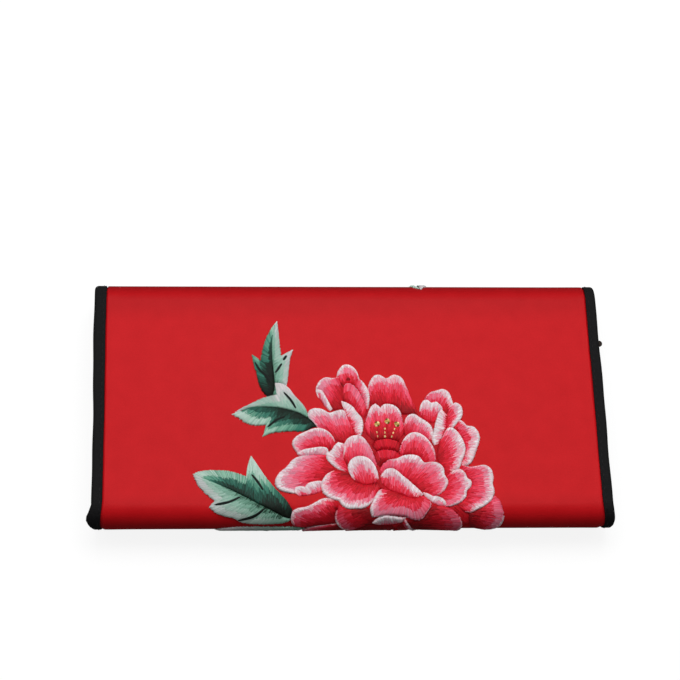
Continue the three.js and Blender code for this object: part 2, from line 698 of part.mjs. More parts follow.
// A flat-sided block over an outline, from low to high, in strip coordinates
function block(outline, low = 0, high = 1) {
  const options = { depth: high - low, bevelEnabled: false };
  const body = new THREE.ExtrudeGeometry(new THREE.Shape(outline), options);
  return toManifold(body.translate(0, 0, low));
}

// What a patch takes away from the patches under it
function cover(outline) {
  return block(grown(outline, seamGap), ...coverSpan);
}

// Cuts every triangle where it crosses a station, so that it can bend there.
function cutAtStations(geometry) {
  const positions = Array.from({ length: geometry.getAttribute("position").count }, (_, i) =>
    new THREE.Vector3().fromBufferAttribute(geometry.getAttribute("position"), i),
  );
  let triangles = [];
  for (let i = 0; i < geometry.getIndex().count; i += 3) {
    triangles.push([0, 1, 2].map((k) => geometry.getIndex().getX(i + k)));
  }
  for (const station of stations) {
    const made = new Map();
    const next = [];
    const side = positions.map((p) => (Math.abs(p.y - station) < 1e-4 ? 0 : Math.sign(p.y - station)));
    const crossing = (a, b) => {
      const key = a < b ? a + "_" + b : b + "_" + a;
      if (!made.has(key)) {
        const share = (station - positions[a].y) / (positions[b].y - positions[a].y);
        positions.push(positions[a].clone().lerp(positions[b], share));
        made.set(key, positions.length - 1);
      }
      return made.get(key);
    };
    for (const triangle of triangles) {
      const [first, second, third] = triangle;
      const turns = [triangle, [second, third, first], [third, first, second]];
      const alone = turns.find(([a, b, c]) => side[a] * side[b] < 0 && side[a] * side[c] < 0);
      const through = turns.find(([a, b, c]) => side[a] === 0 && side[b] * side[c] < 0);
      if (alone) {
        const [a, b, c] = alone;
        const [ab, ac] = [crossing(a, b), crossing(a, c)];
        next.push([a, ab, ac], [ab, b, c], [ab, c, ac]);
      } else if (through) {
        const [a, b, c] = through;
        const bc = crossing(b, c);
        next.push([a, b, bc], [a, bc, c]);
      } else {
        next.push(triangle);
      }
    }
    triangles = next;
  }
  return { positions, triangles };
}

// Lays a flat block on the strip. relief gives the height of its top at a place.
function laidOn(body, relief) {
  const { positions, triangles } = cutAtStations(fromManifold(body));
  const placed = positions.map(({ x, y, z }) => onStrip(x, y, seamGap + z * relief(x, y)));
  return solid(placed, triangles);
}

function middle(points) {
  return points.reduce((sum, p) => sum.add(p), new THREE.Vector2()).divideScalar(points.length);
}

function petalShapes() {
  const outlines = petals.map(({ rim, foot }) => ({ rim: smoothed(rim), foot: smoothed(foot) }));
  const covers = outlines.map(({ rim, foot }) => cover([...rim, ...foot]));
  return petals.map(({ name }, i) => {
    const { rim, foot } = outlines[i];
    let body = block([...rim, ...foot]);
    for (const above of covers.slice(i + 1)) body = body.subtract(above);
    const [from, to] = [middle(foot), middle(rim)];
    const way = to.clone().sub(from);
    const relief = (x, s) => {
      const share = ((x - from.x) * way.x + (s - from.y) * way.y) / way.lengthSq();
      return THREE.MathUtils.lerp(footRelief, rimRelief, THREE.MathUtils.clamp(share, 0, 1));
    };
    return { name, geometry: laidOn(largest(body), relief) };
  });
}

function leafShapes() {
  let taken = petals
    .map(({ rim, foot }) => cover([...smoothed(rim), ...smoothed(foot)]))
    .reduce((all, one) => all.add(one));
  const shapes = [];
  for (const { name, rib, edges } of leaves.toReversed()) {
    const spine = smoothed(rib);
    const halves = edges.map((edge) => [...smoothed(edge), ...spine.toReversed()]);
    const [one, other] = halves.map((outline) => block(outline));
    const body = largest(one.add(other).subtract(taken));
    for (const outline of halves) taken = taken.add(cover(outline));
    shapes.push({ name, geometry: laidOn(body, () => leafRelief) });
  }
  return shapes;
}

// Materials
const satin = new THREE.MeshStandardMaterial({ color: 0xc22328, roughness: 0.55, metalness: 0 });
const tape = new THREE.MeshStandardMaterial({ color: 0x17171a, roughness: 0.8, metalness: 0 });
const pinkThread = new THREE.MeshStandardMaterial({ color: 0xe8607f, roughness: 0.45, metalness: 0 });
const greenThread = new THREE.MeshStandardMaterial({ color: 0x5f9a86, roughness: 0.45, metalness: 0 });
const lining = new THREE.MeshStandardMaterial({ color: 0x1d1a1c, roughness: 0.75, metalness: 0 });
const zipCloth = new THREE.MeshStandardMaterial({ color: 0x151515, roughness: 0.7, metalness: 0 });
const lacquer = new THREE.MeshStandardMaterial({ color: 0x17110e, roughness: 0.35, metalness: 0.6 });
const steel = new THREE.MeshStandardMaterial({ color: 0xb9bcc0, roughness: 0.3, metalness: 1 });

const purse = new THREE.Group();
function add(name, geometry, material) {
  const mesh = new THREE.Mesh(geometry, material);
  mesh.name = name;
  purse.add(mesh);
}

add("satin_shell", satinShell(), satin);
add("tape_left", sideTape(-1, leftFlare), tape);
add("tape_right", sideTape(1, rightFlare), tape);
add("tape_flap_end", endTape(flapEnd, 1), tape);
add("tape_inner_end", endTape(innerEnd, -1), tape);
add("inner_pocket", innerPocket(), lining);
add("zip_tape", zipTape(), zipCloth);
add("zip_pull", zipPull(), lacquer);
add("press_stud", pressStud(), steel);
for (const { name, geometry } of petalShapes()) add(name, geometry, pinkThread);
for (const { name, geometry } of leafShapes()) add(name, geometry, greenThread);

export default purse;
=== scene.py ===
import math

import bpy
import numpy as np
from mathutils import Matrix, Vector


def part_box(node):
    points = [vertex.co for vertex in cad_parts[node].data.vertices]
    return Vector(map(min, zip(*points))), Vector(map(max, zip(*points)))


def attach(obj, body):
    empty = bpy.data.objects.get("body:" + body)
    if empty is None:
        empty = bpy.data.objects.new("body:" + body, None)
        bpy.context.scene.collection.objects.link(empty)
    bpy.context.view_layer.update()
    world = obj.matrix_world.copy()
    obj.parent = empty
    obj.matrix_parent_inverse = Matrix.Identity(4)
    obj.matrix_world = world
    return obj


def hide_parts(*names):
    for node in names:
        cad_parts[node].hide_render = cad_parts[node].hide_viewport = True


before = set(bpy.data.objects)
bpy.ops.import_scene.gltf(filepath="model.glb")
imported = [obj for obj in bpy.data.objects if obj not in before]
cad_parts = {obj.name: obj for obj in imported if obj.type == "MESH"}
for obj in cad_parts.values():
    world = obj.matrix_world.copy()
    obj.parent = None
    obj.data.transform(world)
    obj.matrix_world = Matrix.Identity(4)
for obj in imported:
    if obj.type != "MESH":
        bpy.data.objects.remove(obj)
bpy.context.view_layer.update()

# An embroidered purse folded in three. Lengths here are millimetres until a mesh is written.
mm = 0.001
chance = np.random.default_rng(41)

purse = {
    "width": 195.0,  # over the tape
    "depth": 101.0,
    "wall": 2.8,  # satin, padding and lining
    "frontFold": 6.8,  # radius of the satin round the front crease
    "backFold": 9.0,
    "crown": 0.8,
    "frontSwell": 0.55,  # how far the padding swells the creases
    "backSwell": 0.85,
    "tapeSwell": 0.35,  # share of that which reaches the tape
    "swellFrom": 0.3,  # how far out of the tape's inner edge the swelling starts to rise
    "swellRise": 1.2,
    "flapShort": 4.5,
    "innerShort": 8.0,
    "tapeFace": 4.1,
    "tapeThick": 0.8,
    "tapeGap": 0.3,
    "press": 0.5,  # how far the tape presses each side of the wall in
    "pressPast": 0.25,  # how far past the tape that starts to fade, and over what length
    "pressFade": 0.5,
    "pucker": 0.07,  # height of the gathers beside the side seams
    "puckerRise": 1.5,
    "puckerReach": 5.0,
    "spread": 0.9,  # how much wider the satin shows over the front crease, on each side
    "spreadFrom": 2.0,
    "lean": 0.6,  # how far out the right side leans towards the front
    "leanFade": 20.0,  # and how far past the front crease that fades
}

proud = purse["tapeThick"] + purse["tapeGap"] - purse["press"]
frontFold = purse["frontFold"]
backFold = purse["backFold"]
faceZ = proud + 2 * backFold
frontY = -(purse["depth"] / 2 - proud - frontFold)
backY = purse["depth"] / 2 - proud - backFold
faceRun = backY - frontY
frontTurn = math.pi * frontFold
backTurn = math.pi * backFold
flapEnd = faceRun + backTurn + faceRun - purse["flapShort"]
innerEnd = -(frontTurn + faceRun - purse["innerShort"])
wallEdge = purse["width"] / 2 - purse["tapeThick"] - purse["tapeGap"]
tapeInner = purse["width"] / 2 - purse["tapeFace"]
sewnRun = purse["tapeFace"] - purse["tapeThick"]


def ease(t):  # 0 to 1 with a soft start and end
    t = np.clip(t, 0, 1)
    return t * t * (3 - 2 * t)


def hump(t):  # up from 0 to 1 and down again as t goes from 0 to 1
    return np.sin(np.pi * np.clip(t, 0, 1)) ** 2


def crownAt(x, s):
    across = np.clip(1 - (x / tapeInner) ** 2, 0, None)
    fromTape = tapeInner + purse["swellFrom"] - np.abs(x)
    reach = purse["tapeSwell"] + (1 - purse["tapeSwell"]) * ease(fromTape / purse["swellRise"])
    swell = purse["frontSwell"] * hump(-s / frontTurn) + purse["backSwell"] * hump((s - faceRun) / backTurn)
    return purse["crown"] * across * hump(s / faceRun) + swell * reach


def onStrip(x, s, h):  # x across the purse, s along its satin from the front crease, h off the satin
    x, s, h = (np.asarray(a, float) for a in (x, s, h))
    front = s < faceRun / 2
    frontAngle = np.clip(s / frontFold, -np.pi, 0)
    angle = np.where(front, frontAngle, np.clip((s - faceRun) / backFold, 0, np.pi))
    radius = np.where(front, frontFold, backFold)
    frontRun = frontY + np.clip(s, 0, None) - np.clip(s + frontTurn, None, 0)
    backRun = backY + np.clip(s - faceRun, None, 0) - np.clip(s - faceRun - backTurn, 0, None)
    lift = radius + h + crownAt(x, s)
    y = np.where(front, frontRun, backRun) + lift * np.sin(angle)
    z = faceZ - radius + lift * np.cos(angle)
    return np.stack(np.broadcast_arrays(x, y, z), -1)


def selectOnly(piece):
    bpy.ops.object.select_all(action="DESELECT")
    piece.select_set(True)
    bpy.context.view_layer.objects.active = piece


def applyAll(piece):
    selectOnly(piece)
    for modifier in list(piece.modifiers):
        bpy.ops.object.modifier_apply(modifier=modifier.name)


def gridCoords(piece):
    found = np.empty(len(piece.data.vertices) * 3)
    piece.data.vertices.foreach_get("co", found)
    return found.reshape(-1, 3)


def added(name, operator, **settings):  # what a bpy.ops call adds, with nothing else selected
    bpy.ops.object.select_all(action="DESELECT")
    operator(**settings)
    made = bpy.context.object
    made.name = made.data.name = name
    return made


def walled(piece, thickness):
    wall = piece.modifiers.new("wall", "SOLIDIFY")
    wall.thickness = thickness * mm
    wall.offset = -1
    return wall


def bentGrid(name, columns, rows, place):  # a flat grid whose points go where place(u, v) says
    grid = bpy.ops.mesh.primitive_grid_add
    piece = added(name, grid, x_subdivisions=columns, y_subdivisions=rows, size=2)
    flat = gridCoords(piece) / 2 + 0.5
    piece.data.vertices.foreach_set("co", (place(flat[:, 0], flat[:, 1]) * mm).ravel())
    piece.data.update()
    piece.data.uv_layers[0].name = "Strip"
    return piece


def closeTube(piece):  # merges the grid's two long sides and fills its ends
    selectOnly(piece)
    bpy.ops.object.mode_set(mode="EDIT")
    bpy.ops.mesh.select_all(action="SELECT")
    bpy.ops.mesh.remove_doubles(threshold=1e-6)
    bpy.ops.mesh.fill_holes(sides=0)
    bpy.ops.mesh.normals_make_consistent(inside=False)
    bpy.ops.object.mode_set(mode="OBJECT")


def smooth(piece, degrees=50):
    selectOnly(piece)
    bpy.ops.object.shade_smooth_by_angle(angle=math.radians(degrees))


def bevelled(piece, width, segments=3):
    edge = piece.modifiers.new("edge", "BEVEL")
    edge.width = width * mm
    edge.segments = segments
    applyAll(piece)
    smooth(piece, 40)
    return piece


# Shader maths: sockets that can be added and multiplied
class Wire:
    def __init__(self, tree, socket=None):
        self.tree = tree
        self.socket = socket

    def make(self, kind, sockets=None, out=0, **settings):
        node = self.tree.nodes.new(kind)
        for key, value in settings.items():
            setattr(node, key, value)
        for key, value in (sockets or {}).items():
            if isinstance(value, Wire):
                self.tree.links.new(value.socket, node.inputs[key])
            else:
                node.inputs[key].default_value = value
        return Wire(self.tree, node.outputs[out])

    def output(self, index):
        return Wire(self.tree, self.socket.node.outputs[index])

    def maths(self, operation, first, second):
        return self.make("ShaderNodeMath", {0: first, 1: second}, operation=operation)

    def __add__(self, other):
        return self.maths("ADD", self, other)

    __radd__ = __add__

    def __sub__(self, other):
        return self.maths("SUBTRACT", self, other)

    def __rsub__(self, other):
        return self.maths("SUBTRACT", other, self)

    def __mul__(self, other):
        return self.maths("MULTIPLY", self, other)

    def power(self, other):
        return self.maths("POWER", self, other)

    def sine(self):
        return self.make("ShaderNodeMath", {0: self}, operation="SINE")

    def clamped(self):
        return self.make("ShaderNodeClamp", {0: self})

    def scaled(self, share):  # a colour made darker
        return self.make("ShaderNodeVectorMath", {0: self, "Scale": share}, operation="SCALE")


def linear(red, green, blue):  # a colour as a paint chart gives it, 0 to 255, made linear
    shares = (red / 255, green / 255, blue / 255)
    return tuple(c / 12.92 if c <= 0.04045 else ((c + 0.055) / 1.055) ** 2.4 for c in shares)


def opaque(red, green, blue):
    return (*linear(red, green, blue), 1)


def finish(name, settings, dress):  # settings go to the Principled sockets, and dress adds the patterns
    material = bpy.data.materials.new(name)
    material.use_nodes = True
    tree = material.node_tree
    shader = tree.nodes["Principled BSDF"]
    for key, value in settings.items():
        shader.inputs[key].default_value = value
    dress(Wire(tree), lambda socket, wire: tree.links.new(wire.socket, shader.inputs[socket]))
    return material


def strands(wire, across):  # the strip's own map, stretched to millimetres
    uv = wire.make("ShaderNodeUVMap", uv_map="Strip")
    return wire.make("ShaderNodeMapping", {"Vector": uv, "Scale": (across, flapEnd - innerEnd, 1)})


def mixed(factor, first, second):
    return factor.make("ShaderNodeMix", {0: factor, 6: first, 7: second}, 2, data_type="RGBA")


def noise(place, scale, detail, roughness=0.5):
    sockets = {"Vector": place, "Scale": scale, "Detail": detail, "Roughness": roughness}
    return place.make("ShaderNodeTexNoise", sockets)


def bumped(height, strength, distance):
    sockets = {"Height": height, "Strength": strength, "Distance": distance * mm}
    return height.make("ShaderNodeBump", sockets)


satinLook = {
    "red": opaque(197, 20, 27),
    "deep": opaque(176, 9, 17),
    "toneMiddle": 0.35,
    "mottleSize": 7.0,
    "mottleShare": 0.7,
    "grainSize": 0.625,
    "grainShare": 1.2,
    "grainHeight": 0.8,
    "roughness": 0.46,
    "roughSpread": 0.2,
    "weavePitch": 0.42,
    "weaveSlant": 0.4,
    "weaveHeight": 0.02,
    "bump": 0.35,
    "shades": [  # painted shade over the creases: how much darker the cloth is painted, from where along it, and over what length
        (0.3, faceRun - 9, 18),
        (0.3, faceRun + 3, 7),
        (0.2, 4, -10),
    ],
}


def dressSatin(wire, feed):
    look = satinLook
    place = strands(wire, 2 * wallEdge)
    mottle = noise(place, 1 / look["mottleSize"], 3)
    grain = noise(place, 1 / look["grainSize"], 4, 0.7)
    split = wire.make("ShaderNodeSeparateXYZ", {0: place})
    wide, long = split.output(0), split.output(1)
    tone = (mottle - 0.5) * look["mottleShare"] + (grain - 0.5) * look["grainShare"] + look["toneMiddle"]
    # painted shade: the cloth made darker towards the back crease, over its far edge and down the front
    # crease
    shade = 1
    for darker, start, run in look["shades"]:
        shade = shade - ((long - start) * (1 / run)).clamped() * darker
    feed("Base Color", mixed(tone.clamped(), look["red"], look["deep"]).scaled(shade))
    feed("Roughness", look["roughness"] + (grain - 0.5) * look["roughSpread"])
    turn = 2 * math.pi / look["weavePitch"]
    twill = (long + wide * look["weaveSlant"]) * (turn * 0.5)
    weave = ((wide * turn).sine() * 0.5 + twill.sine() * 0.5) * 0.5 + grain * look["grainHeight"]
    feed("Normal", bumped(weave, look["bump"], look["weaveHeight"]))


tapeLook = {
    "black": opaque(7, 7, 8),
    "worn": opaque(38, 36, 38),
    "around": 12.0,  # about the length of its section
    "fuzzScale": 2.2,
    "fuzzHeight": 0.9,
    "ribPitch": 0.75,
    "ribHeight": 0.05,
    "bump": 0.6,
}


def dressTape(wire, feed):
    place = strands(wire, tapeLook["around"])
    long = wire.make("ShaderNodeSeparateXYZ", {0: place}, 1)
    fuzz = noise(place, tapeLook["fuzzScale"], 5, 0.75)
    rib = (long * (2 * math.pi / tapeLook["ribPitch"])).sine() * 0.5 + fuzz * tapeLook["fuzzHeight"]
    feed("Base Color", mixed(fuzz.power(3.0), tapeLook["black"], tapeLook["worn"]))
    feed("Normal", bumped(rib, tapeLook["bump"], tapeLook["ribHeight"]))


threadLook = {
    "fleckScale": 2600,
    "fleckDark": 0.8,
    "roughness": 0.34,
    "roughSpread": 0.16,
}


def dressThread(wire, feed):
    colour = wire.make("ShaderNodeAttribute", attribute_name="thread")
    fleck = noise(wire.make("ShaderNodeTexCoord", out=3), threadLook["fleckScale"], 2)
    darker = colour.scaled(threadLook["fleckDark"])
    feed("Base Color", mixed((fleck * 1.6 - 0.5).clamped(), colour, darker))
    feed("Roughness", threadLook["roughness"] + fleck * threadLook["roughSpread"])


def plain(name, settings, first, second, scale, height):  # two mixed colours with a fine bump
    def dress(wire, feed):
        grain = noise(wire.make("ShaderNodeTexCoord", out=3), scale, 5)
        feed("Base Color", mixed(grain, opaque(*first), opaque(*second)))
        feed("Roughness", 0.3 + grain * 0.4)
        feed("Normal", bumped(grain, 0.4, height))

    return finish(name, settings, dress)


satinRed = finish("satinRed", {"Specular IOR Level": 0.06}, dressSatin)
tapeBlack = finish("tapeBlack", {"Roughness": 0.8, "Specular IOR Level": 0.16}, dressTape)
silkThread = finish("silkThread", {"Specular IOR Level": 0.12}, dressThread)
liningCloth = plain("liningCloth", {}, (22, 20, 22), (40, 36, 40), 900, 0.08)
zipCloth = plain("zipCloth", {"Specular IOR Level": 0.2}, (12, 12, 13), (30, 29, 30), 1500, 0.1)
blackLacquer = plain("blackLacquer", {"Specular IOR Level": 0.15}, (12, 9, 8), (44, 26, 18), 500, 0.02)
studSteel = plain("studSteel", {"Metallic": 1.0}, (150, 152, 156), (188, 190, 194), 400, 0.01)

floorLook = {
    "bounce": 0.16,  # the grey that it shows to the purse, so that little light is thrown up at the creases
    "glow": 1.02,
    "glowShare": 0.86,  # the rest of what the camera sees keeps a faint shadow
}


def pageWhite():
    material = bpy.data.materials.new("palePaper")
    material.use_nodes = True
    tree = material.node_tree
    tree.nodes.remove(tree.nodes["Principled BSDF"])
    seen = Wire(tree).make("ShaderNodeLightPath")
    grey = (floorLook["bounce"],) * 3
    lit = seen.make("ShaderNodeBsdfDiffuse", {"Color": mixed(seen, (*grey, 1), (1.0, 1.0, 1.0, 1))})
    glow = seen.make("ShaderNodeEmission", {"Strength": floorLook["glow"]})
    both = seen.make("ShaderNodeMixShader", {0: seen * floorLook["glowShare"], 1: lit, 2: glow})
    tree.links.new(both.socket, tree.nodes["Material Output"].inputs[0])
    return material


palePaper = pageWhite()
print("materials made")


def declared(piece, node=None):  # a piece of the scene alone stands for no node
    if node:
        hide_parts(node)
    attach(piece, "root")
    return piece


def dressed(piece, material, node=None):
    piece.data.materials.append(material)
    return declared(piece, node)


# The padded satin
def creaseSpread(s):
    return purse["spread"] * hump((purse["spreadFrom"] - s) / frontTurn)


def leanAt(s):
    fade = np.clip(1 + (s + frontTurn) / purse["leanFade"], 0, 1)
    return purse["lean"] * np.clip(1 - s / faceRun, 0, 1) * fade


def spreadAt(x, s):  # how far out the side tapes' inner edges move
    return creaseSpread(s) + leanAt(s) * (x > 0)


def edgePress(x, s):
    fromSide = wallEdge - np.abs(x) + spreadAt(x, s)
    fromTape = np.minimum(np.minimum(fromSide, flapEnd - s), s - innerEnd) - sewnRun
    return purse["press"] * (1 - ease((fromTape + purse["pressPast"]) / purse["pressFade"]))


def puckerAt(x, s):
    fromTape = wallEdge - np.abs(x) - sewnRun
    near = np.exp(-np.clip(fromTape, 0, None) / purse["puckerReach"]) * ease(fromTape / purse["puckerRise"])
    waves = np.sin(s / 1.35 + np.sin(s / 7.1) * 2) + 0.6 * np.sin(s / 2.3 + x * 0.2)
    return purse["pucker"] * near * waves


def gridUV(columns, rows):  # u and v of a grid primitive's points, in the primitive's own order
    v, u = np.meshgrid(np.arange(rows + 1) / rows, np.arange(columns + 1) / columns, indexing="ij")
    return u.ravel(), v.ravel()


def makeSatin():  # a grid that is finer beside the tape and over the creases
    columns, rows = 130, 220
    xStops = [0, 3, 7, columns - 7, columns - 3, columns]
    left = [-wallEdge, -tapeInner + 0.05, -tapeInner + 1.2]
    xPlaces = left + [-x for x in reversed(left)]
    sStops = [0, 3, 46, 84, 126, 170, 217, rows]
    sPlaces = [innerEnd, innerEnd + sewnRun, -frontTurn, 0]
    sPlaces += [faceRun, faceRun + backTurn, flapEnd - sewnRun, flapEnd]

    def spot(u, v):
        return np.interp(u * columns, xStops, xPlaces), np.interp(v * rows, sStops, sPlaces)

    def place(u, v):
        x, s = spot(u, v)
        return onStrip(x, s, puckerAt(x, s) - edgePress(x, s))

    piece = bentGrid("satinWall", columns, rows, place)
    flat = np.empty(len(piece.data.loops) * 2)
    layer = piece.data.uv_layers["Strip"].data
    layer.foreach_get("uv", flat)
    x, s = spot(*flat.reshape(-1, 2).T)
    layer.foreach_set("uv", np.stack([x / (2 * wallEdge), s / (flapEnd - innerEnd)], -1).ravel())
    group = piece.vertex_groups.new(name="thickness")
    share = 1 - 2 * edgePress(*spot(*gridUV(columns, rows))) / purse["wall"]
    for index, weight in enumerate(share):
        group.add([index], float(weight), "REPLACE")
    walled(piece, purse["wall"]).vertex_group = "thickness"
    applyAll(piece)
    return piece


satin = makeSatin()
smooth(satin)
dressed(satin, satinRed, "satin_shell")
print("satin wall:", len(satin.data.polygons), "faces")


# The binding tape: one section, swept along the sides and across the free ends
tape = {
    "nose": 1.25,  # rounding of the outer edge
    "hem": 0.35,  # rounding of the inner edges
    "flatFrom": 1.6,  # where its faces start to be flat
    "leftFlare": 2.2,
    "rightFlare": 0.7,
    "flarePeak": 0.32,  # where the flare is widest and how far it runs, as shares of the front crease
    "flareRun": 0.3,
    "waver": 0.12,  # how far its edge wanders
    "creasePress": 0.25,  # how much flatter it is on the front crease
    "backWiden": 0.6,  # how much wider the left tape gets towards the back crease
    "backHold": 8.0,  # how far into the back crease it stays so, and over what length it narrows again
    "backFade": 12.0,
}


def tapeSection():
    top, thick = proud, purse["tapeThick"]
    low = -purse["wall"] - proud
    end = purse["tapeFace"]
    slot = end - thick
    nose, hem, flat = tape["nose"], tape["hem"], tape["flatFrom"]

    def arc(x, y, r, first, last, n=5):
        turn = np.radians(np.linspace(first, last, n))
        return list(zip(x + r * np.cos(turn), y + r * np.sin(turn)))

    path = [(flat, top), (end - nose, top)]
    path += arc(end - nose, top - nose, nose, 80, 0)
    path += arc(end - nose, low + nose, nose, 0, -80)
    path += [(end - nose, low), (flat, low)]
    path += arc(hem, low + hem, hem, 270, 180, 4)
    path += [(hem * 0.5, low + thick), (slot, low + thick), (slot, top - thick), (hem * 0.5, top - thick)]
    path += arc(hem, top - hem, hem, 180, 90, 4)
    return np.array([*path, path[0]])


def flareAt(size, s):  # the bulge where the tape turns the front crease
    turn = np.clip(-s / frontTurn, 0, 1)
    return size * np.clip(1 - np.abs(turn - tape["flarePeak"]) / tape["flareRun"], 0, 1)


def makeTape(name, node, place):
    path = tapeSection()
    columns = len(path) - 1

    def bend(u, v):
        index = np.rint(u * columns).astype(int)
        return place(path[index, 0], path[index, 1], v)

    piece = bentGrid(name, columns, 300, bend)
    closeTube(piece)
    smooth(piece, 60)
    dressed(piece, tapeBlack, node)


def sideTape(name, node, side, flare, seed):
    ends = purse["tapeThick"] + purse["tapeGap"]

    def place(reach, h, v):
        s = innerEnd - ends + v * (flapEnd - innerEnd + 2 * ends)
        share = np.clip(reach / purse["tapeFace"], 0, 1)
        waves = np.sin(s / 9 + seed) + 0.6 * np.sin(s / 3.7 + 2 * seed)
        drift = tape["waver"] * waves * (0.4 + 0.6 * share)
        bulge = flareAt(flare, s) * share ** 2 + creaseSpread(s) * (1 - share)
        if side > 0:
            bulge += leanAt(s)
        else:
            hold = np.clip(1 - (s - faceRun - tape["backHold"]) / tape["backFade"], 0, 1)
            bulge += tape["backWiden"] * ease(s / faceRun) * hold * share
        x = side * (tapeInner + reach + bulge + drift - tape["waver"])
        return onStrip(x, s, h - tape["creasePress"] * hump(-s / frontTurn) * (h > 0))

    makeTape(name, node, place)


def endTape(name, node, end, away):
    half = tapeInner - purse["tapeGap"]
    start = end - away * (sewnRun - purse["tapeGap"])

    def place(reach, h, v):
        x = half * (2 * v - 1)
        return onStrip(x, start + away * reach + 0.08 * np.sin(x / 8), h)

    makeTape(name, node, place)


sideTape("tapeLeftSide", "tape_left", -1, tape["leftFlare"], 0.7)
sideTape("tapeRightSide", "tape_right", 1, tape["rightFlare"], 2.9)
endTape("tapeFlapEdge", "tape_flap_end", flapEnd, 1)
endTape("tapeInnerEdge", "tape_inner_end", innerEnd, -1)
print("tape bound on")

